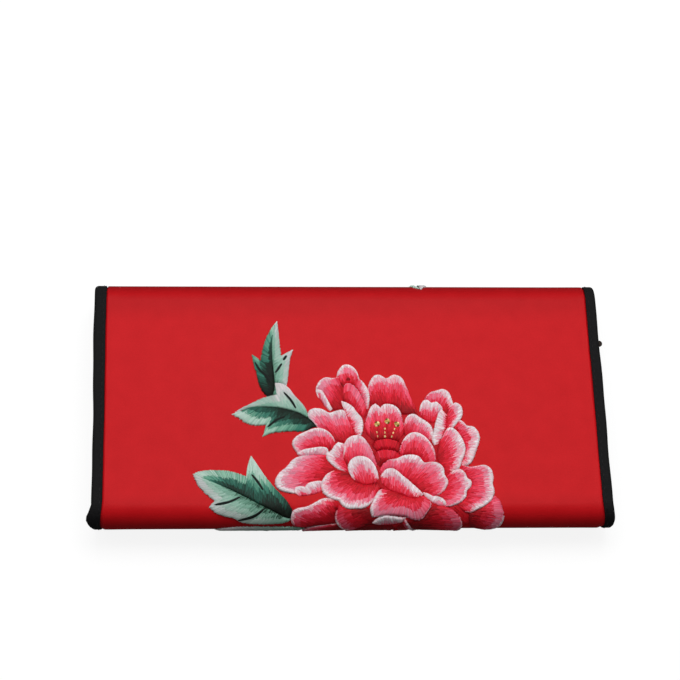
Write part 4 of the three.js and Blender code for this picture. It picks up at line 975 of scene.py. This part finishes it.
class Stitching:  # gathers threads and padding, and makes one mesh of them
    def __init__(self):
        self.points, self.faces, self.colours, self.maps = [], [], [], []
        self.count = 0

    def add(self, places, faces, colours, uv):
        self.points.append(places.reshape(-1, 3))
        self.faces.append(faces.reshape(-1, 4) + self.count)
        self.colours.append(np.broadcast_to(colours, places.shape).reshape(-1, 3))
        self.maps.append(np.broadcast_to(uv, (*places.shape[:-1], 2)).reshape(-1, 2))
        self.count += places.size // 3

    def threads(self, p, h, colours, width=None, lift=None):  # p (n, k, 2) and h (n, k)
        if not len(p):
            return
        n, k = h.shape
        width = threads["width"] if width is None else width
        lift = threads["lift"] if lift is None else lift
        ahead = np.gradient(p, axis=1)
        ahead /= np.maximum(np.linalg.norm(ahead, axis=-1, keepdims=True), 1e-9)
        side = np.stack([-ahead[..., 1], ahead[..., 0]], -1)
        taper = np.full(k, 1.0)
        taper[[0, -1]] = 0.45
        round_ = np.array([(-1, -0.35), (-0.55, 0.75), (0.55, 0.75), (1, -0.35)])
        across = round_[:, 0] * (width / 2) * taper[:, None]
        up = round_[:, 1] * lift * taper[:, None]
        flat = p[:, :, None] + side[:, :, None] * across[None, :, :, None]
        high = h[:, :, None] + up[None]
        places = onStrip(flat[..., 0], flat[..., 1], high)
        ring = np.arange(n * k * 4).reshape(n, k, 4)
        turned = np.roll(ring, -1, 2)
        walls = np.stack([ring[:, :-1], turned[:, :-1], turned[:, 1:], ring[:, 1:]], -1)
        caps = np.concatenate([ring[:, :1, ::-1], ring[:, -1:]], 1)
        column = (np.arange(n)[:, None, None, None] + np.array([0.12, 0.4, 0.6, 0.88])[:, None]) / n
        row = np.linspace(0.01, 0.79, k)[None, :, None, None]
        uv = np.concatenate(np.broadcast_arrays(column, row), -1)
        faces = np.concatenate([walls.reshape(-1, 4), caps.reshape(-1, 4)])
        self.add(places, faces[:, ::-1], colours[:, None, None], uv)

    def pad(self, field, nu, nv):
        u, v = np.meshgrid(np.linspace(0, 1, nu + 1), np.linspace(0, 1, nv + 1))
        v = v * (1 - threads["edgeRag"] / np.maximum(field.long(u), 2))
        p = field.at(u, v)
        h = np.stack([field.height(p, v) - 0.04, np.full(u.shape, -0.06)])
        places = onStrip(p[..., 0], p[..., 1], h)
        # the padding painted darker, as shade under the threads
        colours = np.stack([field.colour(u, v - 0.15) * threads["padShade"]] * 2)
        index = np.arange(2 * u.size).reshape(2, nv + 1, nu + 1)
        faces = []
        for side, turn in ((0, 1), (1, -1)):
            a = index[side]
            quads = np.stack([a[:-1, :-1], a[:-1, 1:], a[1:, 1:], a[1:, :-1]], -1).reshape(-1, 4)
            faces.append(quads[:, ::turn])
        rows, columns = index.shape[1], index.shape[2]
        ring = [(0, c) for c in range(columns - 1)] + [(r, columns - 1) for r in range(rows - 1)]
        ring += [(rows - 1, c) for c in range(columns - 1, 0, -1)] + [(r, 0) for r in range(rows - 1, 0, -1)]
        ring = np.array(ring)
        top, low = (index[k][ring[:, 0], ring[:, 1]] for k in (0, 1))
        faces.append(np.stack([top, low, np.roll(low, -1), np.roll(top, -1)], -1))
        uv = np.stack([u, 0.82 + 0.17 * v], -1) * np.array([0.49, 1])
        self.add(places, np.concatenate(faces), colours, np.stack([uv, uv + np.array([0.5, 0])]))

    def piece(self, name):
        points = np.concatenate(self.points) * mm
        faces = np.concatenate(self.faces)
        mesh = bpy.data.meshes.new(name)
        mesh.vertices.add(len(points))
        mesh.vertices.foreach_set("co", points.ravel())
        mesh.loops.add(faces.size)
        mesh.loops.foreach_set("vertex_index", faces.ravel().astype(np.int32))
        mesh.polygons.add(len(faces))
        mesh.polygons.foreach_set("loop_start", np.arange(0, faces.size, 4, dtype=np.int32))
        mesh.update(calc_edges=True)
        colour = mesh.color_attributes.new("thread", "FLOAT_COLOR", "POINT")
        shades = np.concatenate(self.colours)
        colour.data.foreach_set("color", np.column_stack([shades, np.ones(len(shades))]).ravel())
        layer = mesh.uv_layers.new(name="OFBake")
        layer.data.foreach_set("uv", np.concatenate(self.maps)[faces.ravel()].ravel())
        made = bpy.data.objects.new(name, mesh)
        bpy.context.scene.collection.objects.link(made)
        smooth(made, 75)
        return made


def rowPlaces(field, share, pitch):  # where a row's stitches stand, as shares of the way along it
    line = field.at(np.linspace(0, 1, 60), np.full(60, share))
    wide = float(np.hypot(*np.diff(line, axis=0).T).sum())
    count = max(3, int(wide / pitch))
    jitter = threads["jitter"]
    return (np.arange(count) + 0.5 + chance.uniform(-jitter, jitter, count)) / count


def wander(place, every):  # a slow random drift along a row, from 0 to 1
    knots = chance.uniform(0, 1, max(3, int(every) + 2))
    return np.interp(place, np.linspace(0, 1, len(knots)), knots)


# tips are places along the rim, and how far in its white stitches reach there
def stitchRows(stitching, field, tips=()):
    longest = float(field.long(np.linspace(0, 1, 60)).max())
    rag = threads["rag"]
    for row, start in enumerate(np.arange(0, longest, threads["rowStep"])):
        share = np.clip(1 - (start + threads["rowStep"] / 2) / longest, 0.03, 1)
        place = rowPlaces(field, share, threads["pitch"])
        outer = start + chance.uniform(0, rag if row else threads["edgeRag"], len(place))
        outer -= threads["overhang"] * (row == 0)
        inner = outer + threads["rowLength"] + chance.uniform(-rag, rag, len(place))
        layStitches(stitching, field, place, outer, inner, 0.03 * row)
    for reach, white, lift in threads["tipCoats"] if tips else ():
        place = rowPlaces(field, 0.96, threads["tipPitch"])
        long = np.interp(place, *zip(*tips)) * (0.65 + 0.7 * wander(place, len(place) / 6))
        uneven = chance.uniform(1 - threads["tipRag"], 1 + threads["tipRag"], len(place))
        inner = long * reach * uneven * threads["tipReach"]
        outer = chance.uniform(-1, 1, len(place)) * threads["overhang"]
        shown = inner > threads["tipLeast"]
        whites = white * np.clip(long / threads["tipFull"], 0.1, 1)
        layStitches(stitching, field, place[shown], outer[shown], inner[shown], lift, whites[shown])


def layStitches(stitching, field, place, outer, inner, lift, white=0.0):
    far = np.maximum(field.long(place), 0.5)
    white = np.broadcast_to(white, place.shape)
    first = 1 - outer / far  # as shares of the way from the foot to the rim
    last = np.clip(1 - inner / far, 0, 1)
    keep = first > 0.02
    if not keep.any():
        return
    place, first, last, white = place[keep], first[keep], last[keep], white[keep]
    fine = first[:, None] + (last - first)[:, None] * np.linspace(0, 1, 16)
    p = field.at(np.broadcast_to(place[:, None], fine.shape), fine)
    shown = (field.cover(p) < 0.12) & (insideBy(p, field.outline) > -threads["overhang"])
    begins = shown.argmax(1)
    past = (~shown).cumsum(1) > begins[:, None]  # after the first gap in what shows
    ends = begins + np.where(past, 0, shown).sum(1) - 1
    keep = shown.any(1) & (ends - begins >= 2)
    if not keep.any():
        return
    place, fine, begins, ends, white = place[keep], fine[keep], begins[keep], ends[keep], white[keep]
    index = np.arange(len(place))
    top, low = fine[index, begins], fine[index, ends]
    v = top[:, None] + (low - top)[:, None] * np.array([0, 0.1, 0.28, 0.5, 0.72, 0.9, 1])
    p = field.at(np.broadcast_to(place[:, None], v.shape), v)
    h = field.height(p, v) + lift + chance.uniform(0, 0.05, (len(place), 1))
    h[:, [0, -1]] -= threads["endDip"]
    tone = field.colour(place, (top + low) / 2 + chance.normal(0, threads["toneSpread"], len(place)))
    tone += (rimWhite - tone) * white[:, None] * chance.uniform(0.6, 1, (len(place), 1))
    tone *= chance.normal(1, threads["shadeSpread"], (len(place), 1)).clip(0.75, 1.2)
    # painted shade: the silk made darker where it turns down the front crease
    down = np.interp(p[:, 3, 1], (threads["creaseFull"], threads["creaseFrom"]), (field.shade, 1))
    tone *= down[:, None]
    stitching.threads(p, h, tone)


def layVein(stitching, points, tone):  # a tapered stroke of a few dark threads
    line = pointsAlong(curveThrough(points, 0.4), np.linspace(0, 1, 9))
    ahead = np.gradient(line, axis=0)
    side = np.stack([-ahead[:, 1], ahead[:, 0]], -1) / np.linalg.norm(ahead, axis=1)[:, None]
    apart = np.sin(np.pi * np.linspace(0.08, 0.92, 9)) ** 0.7
    lines = line + side * apart[:, None] * threads["veinSpread"] * np.array([-1, 0, 1])[:, None, None]
    crown = threads["veinCrown"] * np.array([0, 1, 0])[:, None]
    high = threads["leafRise"] + threads["veinRise"] + crown + np.zeros((3, 9))
    high[:, [0, -1]] -= threads["endDip"]
    stitching.threads(lines, high, np.tile(tone, (3, 1)))


fields = {}
moved = np.array([0, threads["drawingBack"]])
scaled = np.array([1, threads["drawingLong"]])
look = {"run": petalRun, "shade": threads["creaseShade"]}
for node, pale, rim, foot in petalTable:
    drawn = (curveThrough(foot, threads["outlineStep"])[::-1], curveThrough(rim, threads["outlineStep"]))
    lines = [line * scaled + moved for line in drawn]
    rise = (threads["rootRise"], threads["rimRise"])
    fields["petal_" + node] = Field(*lines, rise, petalColours, pale, **look)
flower = [field.outline for field in fields.values()]
for index, field in enumerate(fields.values()):
    field.covers = flower[index + 1 :]


def pieceName(node):
    words = node.split("_")
    return words[0] + "".join(word.capitalize() for word in words[1:])


total = 0
for node, field in fields.items():
    stitching = Stitching()
    stitching.pad(field, 18, 9)
    name = node.removeprefix("petal_")
    stitchRows(stitching, field, petalRims.get(name, ()))
    for points in petalFolds.get(name, ()):
        layVein(stitching, points, foldCrimson)
    petal = dressed(stitching.piece(pieceName(node)), silkThread, node)
    total += len(petal.data.polygons)
print("petals stitched:", total, "faces")

ground = {  # crimson stitches that show between the petals
    "heart": (13, 22),
    "edge": [(44, 20), (41, 31), (34, 36), (27, 36), (20, 40), (8, 39), (2, 42), (-5, 39), (-10, 33),
             (-10, 26), (-18, 20), (-18, 10), (-11, 4), (-12, -2), (-10, -9), (3, -14), (20, -14), (34, -12),
             (46, -6), (48, 2), (44, 12), (44, 20)],
}
edgeLine = curveThrough(ground["edge"], threads["outlineStep"])
heart = np.array(ground["heart"], float)
field = Field(heart + 0.1 * (edgeLine - heart), edgeLine, (threads["groundRise"],) * 2, groundColours)
field.covers = flower
stitching = Stitching()
stitchRows(stitching, field)
groundStitches = dressed(stitching.piece("groundStitches"), silkThread)
print("ground stitched:", len(groundStitches.data.polygons), "faces")

taken = list(flower)
total = 0
for node, dark, rib, *edges in reversed(leafTable):
    ribLine = curveThrough(rib, threads["outlineStep"])
    stitching = Stitching()
    own = []
    for isDark, edge in zip(dark, edges):
        colours = darkLeafColours if isDark else lightLeafColours
        edgeLine = curveThrough(edge, threads["outlineStep"])
        look = {"slant": threads["leafSlant"], "run": leafRuns[node][not isDark]}
        field = Field(ribLine, edgeLine, (threads["leafRise"],) * 2, colours, **look)
        field.covers = taken
        stitching.pad(field, 30, 6)
        stitchRows(stitching, field)
        own.append(field.outline)
    taken = taken + own
    for points in veins[node]:
        layVein(stitching, points, veinGreen)
    leafNode = "leaf_" + node
    leaf = dressed(stitching.piece(pieceName(leafNode)), silkThread, leafNode)
    total += len(leaf.data.polygons)
print("leaves stitched:", total, "faces")


seam = {  # a row of stitches along the tape, on the outside of the cloth
    "fromEdge": 0.9,
    "long": 2.1,
    "gap": 0.6,
    "width": 0.42,
    "high": 0.14,
    "arch": np.array([0, 0.8, 1, 0.8, 0]) - 0.6,  # its height along a stitch, partly sunk in the tape
    "black": linear(20, 19, 21),
}


def laySeam(stitching, first, last):  # stitches along a straight line of the strip
    first, last = np.array(first, float), np.array(last, float)
    long = float(np.linalg.norm(last - first))
    starts = np.arange(0.6, long - seam["long"], seam["long"] + seam["gap"])
    share = (starts[:, None] + seam["long"] * np.linspace(0, 1, 5)) / long
    p = first + (last - first) * share[..., None]
    p[..., 0] += np.sign(p[..., 0]) * spreadAt(p[..., 0], p[..., 1])
    high = proud - tape["creasePress"] * hump(-p[..., 1] / frontTurn) + seam["high"] * seam["arch"]
    tone = np.tile(seam["black"], (len(starts), 1)) * chance.uniform(0.8, 1.2, (len(starts), 1))
    stitching.threads(p, high, tone, seam["width"], seam["high"])


stitching = Stitching()
reach = tapeInner + seam["fromEdge"]
for side in (-1, 1):
    laySeam(stitching, (side * reach, innerEnd + 1), (side * reach, flapEnd - 1))
for end in (flapEnd - sewnRun + seam["fromEdge"], innerEnd + sewnRun - seam["fromEdge"]):
    laySeam(stitching, (-tapeInner + 1, end), (tapeInner - 1, end))
seamStitches = dressed(stitching.piece("seamStitches"), silkThread)
print("seams sewn:", len(seamStitches.data.polygons), "faces")

stamens = {  # gold knots on the heart petal, and the broken gold lines that run up to them
    "knots": [(9.7, 31.3), (13.7, 32.4), (17.3, 31.2)],
    "knotRadius": 0.55,
    "spread": 0.62,  # how far a knot's loops lie from its middle
    "loops": 6,
    "flatness": 0.62,
    "heartFoot": 25.0,  # where along the strip the heart petal starts to rise, and over what length
    "heartRun": 15.0,
    "lines": [[(9.9, 25.9), (9.5, 28.6)], [(12.6, 25.8), (12.6, 27.5), (12.7, 29.8)],
              [(15, 25.8), (15.9, 28), (16.6, 30)]],
    "dash": 0.95,
    "gap": 0.65,
    "gold": [linear(188, 158, 84), linear(230, 208, 150), linear(94, 80, 24)],
    "straw": linear(240, 200, 142),
}


def heartTop(s):  # height of the stitching on the heart petal
    share = np.clip((s - stamens["heartFoot"]) / stamens["heartRun"], 0, 1) ** threads["riseCurve"]
    return threads["rootRise"] + (threads["rimRise"] - threads["rootRise"]) * share + threads["lift"]


def beadShape():  # points and faces of a small round bead
    cube = added("bead", bpy.ops.mesh.primitive_cube_add, size=2)
    cube.modifiers.new("round", "SUBSURF").levels = 2
    applyAll(cube)
    points = gridCoords(cube)
    points /= np.linalg.norm(points, axis=1)[:, None]
    faces = np.array([list(face.vertices) for face in cube.data.polygons])
    bpy.data.objects.remove(cube)
    return points, faces


def layStamens(stitching):
    points, faces = beadShape()
    cells = len(stamens["knots"]) * (stamens["loops"] + 1)
    cell = 0
    for x, s in stamens["knots"]:
        for loop in range(stamens["loops"] + 1):
            turn = loop * 2 * math.pi / stamens["loops"] + chance.uniform(-0.3, 0.3)
            away = stamens["spread"] * (loop < stamens["loops"])
            size = stamens["knotRadius"] * chance.uniform(0.8, 1.1)
            atX, atS = x + away * math.cos(turn), s + away * math.sin(turn)
            high = heartTop(atS) + (0.12 if away else 0.35)
            bead = size * points * np.array([1, 1, stamens["flatness"]])
            places = onStrip(atX + bead[:, 0], atS + bead[:, 1], high + bead[:, 2])
            tone = np.array(stamens["gold"][loop % 3]) * chance.uniform(0.85, 1.15)
            uv = (points[:, :2] * 0.45 + 0.5 + np.array([cell, 0])) / np.array([cells, 5])
            stitching.add(places, faces, tone, uv)
            cell += 1
    for line in stamens["lines"]:
        path = curveThrough(line, 0.2)
        long = float(np.hypot(*np.diff(path, axis=0).T).sum())
        for start in np.arange(0, long - stamens["dash"] * 0.6, stamens["dash"] + stamens["gap"]):
            share = np.linspace(start, min(long, start + stamens["dash"]), 5) / long
            p = pointsAlong(path, share)[None]
            size = chance.uniform(0.65, 1.1)
            tone = np.array([stamens["straw"]]) * chance.uniform(0.7, 1.05)
            stitching.threads(p, heartTop(p[..., 1]) + 0.08, tone, 0.85 * size, 0.3 * size)


stitching = Stitching()
layStamens(stitching)
stamenKnots = dressed(stitching.piece("stamenKnots"), silkThread)
print("stamens laid:", len(stamenKnots.data.polygons), "faces")


# The hidden zip pocket between the folds
def boxOf(node):
    return [np.array(corner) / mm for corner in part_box(node)]


def roundedCube(name, low, high, bevel, segments):
    piece = added(name, bpy.ops.mesh.primitive_cube_add, size=1)
    places = low + (gridCoords(piece) + 0.5) * (high - low)
    piece.data.vertices.foreach_set("co", (places * mm).ravel())
    return bevelled(piece, bevel, segments)


# A closed section, given in shares of a box's depth and height, swept along x
def sweptAcross(name, low, high, path, columns, waver):
    path = np.array(path + path[:1], float)

    def bend(u, v):
        share = path[np.rint(u * (len(path) - 1)).astype(int)]
        x = low[0] + v * (high[0] - low[0])
        y = low[1] + share[:, 0] * (high[1] - low[1])
        z = low[2] + share[:, 1] * (high[2] - low[2])
        droop = waver * (np.sin(x / 9) + np.sin(x / 3.1 + y / 6)) * (share[:, 1] - 0.5)
        return np.stack([x, y, z - np.abs(droop)], -1)

    piece = bentGrid(name, len(path) - 1, columns, bend)
    closeTube(piece)
    smooth(piece, 45)
    return piece


low, high = boxOf("inner_pocket")
steps = np.linspace(0.03, 0.97, 16)
soft = [(y, 1 - 0.12 * (abs(y - 0.5) * 2) ** 6) for y in steps]
section = [(0, 0.5), (0.004, 0.72), *soft, (0.996, 0.72), (1, 0.5), (0.996, 0.28)]
section += [(y, 1 - z) for y, z in reversed(soft)] + [(0.004, 0.28)]
pouch = sweptAcross("pocketPouch", low, high, section, 120, 0.35)
dressed(pouch, liningCloth, "inner_pocket")

zipper = {
    "clothHigh": 0.8,
    "toothPitch": 1.6,
    "toothLong": 2.5,
    "toothWide": 1.05,
    "toothRound": 0.28,
    "toothStagger": 0.85,
    "toothSunk": 0.2,
    "bareEnds": 3.0,
    "sliderLong": 9.0,
    "sliderHigh": 0.75,
    "tabRound": 1.3,  # radius of its free end
}


def repeated(piece, offsets):  # copies of a small piece joined into one mesh
    points = gridCoords(piece) / mm
    faces = [np.array(face.vertices) for face in piece.data.polygons]
    count = len(points)
    mesh = bpy.data.meshes.new(piece.name)
    places = (points[None] + offsets[:, None]).reshape(-1, 3) * mm
    copied = [(face + k * count).tolist() for k in range(len(offsets)) for face in faces]
    mesh.from_pydata(places.tolist(), [], copied)
    piece.data = mesh
    smooth(piece, 40)
    return piece


def joined(name, first, second):
    selectOnly(first)
    second.select_set(True)
    bpy.ops.object.join()
    first.name = first.data.name = name
    return first


def makeZip():
    low, high = boxOf("zip_tape")
    clothTop = np.array([high[0], high[1], low[2] + zipper["clothHigh"]])
    rail = [(0, 0.2), (0.02, 0.9), (0.2, 1), (0.44, 0.96), (0.47, 0.8), (0.53, 0.8), (0.56, 0.96), (0.8, 1)]
    rail += [(0.98, 0.9), (1, 0.2), (0.98, 0), (0.02, 0)]
    strip = sweptAcross("zipStrip", low, clothTop, rail, 90, 0.12)
    strip.data.materials.append(zipCloth)
    half = np.array([zipper["toothWide"] / 2, zipper["toothLong"] / 2, 0])
    bottom = np.array([0, 0, clothTop[2] - zipper["toothSunk"]])
    top = np.array([0, 0, high[2]])
    tooth = roundedCube("zipTeeth", bottom - half, top + half, zipper["toothRound"], 2)
    count = int((high[0] - low[0] - zipper["bareEnds"]) / zipper["toothPitch"])
    x = (np.arange(count) - (count - 1) / 2) * zipper["toothPitch"]
    y = (low[1] + high[1]) / 2 + np.where(np.arange(count) % 2, 1, -1) * zipper["toothStagger"]
    teeth = repeated(tooth, np.stack([x, y, np.zeros(count)], -1))
    teeth.data.materials.append(blackLacquer)
    return joined("zipChain", strip, teeth)


def flatPlate(name, outline, low, high, round_):  # an outline made into a plate with rounded edges
    piece = added(name, bpy.ops.mesh.primitive_circle_add, vertices=len(outline), fill_type="NGON", radius=1)
    flat = np.column_stack([outline, np.full(len(outline), high)])
    piece.data.vertices.foreach_set("co", (flat * mm).ravel())
    walled(piece, high - low)
    return bevelled(piece, round_)


def makePull():
    low, high = boxOf("zip_pull")
    middle = (low[1] + high[1]) / 2
    half = (high[1] - low[1]) / 2
    nose, rear = low[0], low[0] + zipper["sliderLong"]
    share = [(0, 0.55), (0.08, 0.8), (0.3, 1), (0.75, 0.86), (0.94, 0.62), (1, 0.3)]
    side = [(nose + x * (rear - nose), middle + y * half) for x, y in share]
    other = [(x, 2 * middle - y) for x, y in reversed(side)]
    slider = flatPlate("zipSlider", np.array(other + side), low[2], low[2] + zipper["sliderHigh"], 0.25)
    turn = np.radians(np.linspace(-90, 90, 9))
    radius = zipper["tabRound"]
    end = np.stack([high[0] - radius + radius * np.cos(turn), middle + radius * np.sin(turn)], -1)
    neck = [(rear - 3.4, middle + 0.7), (rear - 3.4, middle - 0.7)]
    neck += [(rear - 0.6, middle - 0.8), (rear + 2, middle - 1.2)]
    back = [(rear + 2, middle + 1.2), (rear - 0.6, middle + 0.8)]
    tab = flatPlate("zipTab", np.array([*neck, *end, *back]), low[2] + 0.3, high[2] - 0.05, 0.3)
    return joined("zipSliderPull", slider, tab)


declared(makeZip(), "zip_tape")
dressed(makePull(), blackLacquer, "zip_pull")
stud = bpy.data.objects["press_stud"]
stud.data.materials.clear()
stud.data.materials.append(studSteel)
print("pocket and zip in place")


# The floor, the lamps and the camera
floor = added("floor", bpy.ops.mesh.primitive_plane_add, size=6)
floor.data.materials.append(palePaper)

studio = {
    "world": (1.0, 1.0, 1.0),
    "worldStrength": 0.2,
    "lamps": [  # name, azimuth and elevation of the lamp seen from the purse, distance, size and watts
        ("backSoftbox", 176, 66, 1.3, 0.9, 14),
        ("leftSoftbox", -110, 50, 1.3, 0.8, 2.5),
        ("rightSoftbox", 110, 50, 1.3, 0.8, 2.5),
    ],
}


# The axes of something that looks at the purse: to its right, its own up, and back from the purse
def axesAt(azimuth, elevation):
    a, e = math.radians(azimuth), math.radians(elevation)
    back = np.array([math.sin(a) * math.cos(e), -math.cos(a) * math.cos(e), math.sin(e)])
    right = np.array([math.cos(a), math.sin(a), 0])
    return right, np.cross(back, right), back


def stand(thing, spot, axes):
    turn = Matrix(np.column_stack(axes).tolist()).to_4x4()
    thing.matrix_world = Matrix.Translation(tuple(spot)) @ turn


world = bpy.data.worlds.new("studio")
bpy.context.scene.world = world
world.use_nodes = True
background = world.node_tree.nodes["Background"]
background.inputs["Color"].default_value = (*studio["world"], 1)
background.inputs["Strength"].default_value = studio["worldStrength"]
for name, azimuth, elevation, away, size, watts in studio["lamps"]:
    lamp = added(name, bpy.ops.object.light_add, type="AREA")
    lamp.data.size = size
    lamp.data.energy = watts
    axes = axesAt(azimuth, elevation)
    stand(lamp, axes[2] * away, axes)

view = {  # where the photograph was taken from, from the fit of the purse's outline
    "azimuth": -8.0,
    "elevation": 64.0,
    "roll": 7.265,
    "distance": 918.9,
    "aim": (-2.723, 28.333, 10.0),
    "lens": 124.9,
}
right, above, back = axesAt(view["azimuth"], view["elevation"])
roll = math.radians(view["roll"])
rolled = (math.cos(roll) * right + math.sin(roll) * above, math.cos(roll) * above - math.sin(roll) * right)
camera = added("camera", bpy.ops.object.camera_add)
stand(camera, (np.array(view["aim"]) + back * view["distance"]) * mm, (*rolled, back))
camera.data.lens = view["lens"]
camera.data.sensor_width = 36
camera.data.clip_end = 20
bpy.context.scene.camera = camera
bpy.context.scene.view_settings.view_transform = "Standard"
print("scene lit")
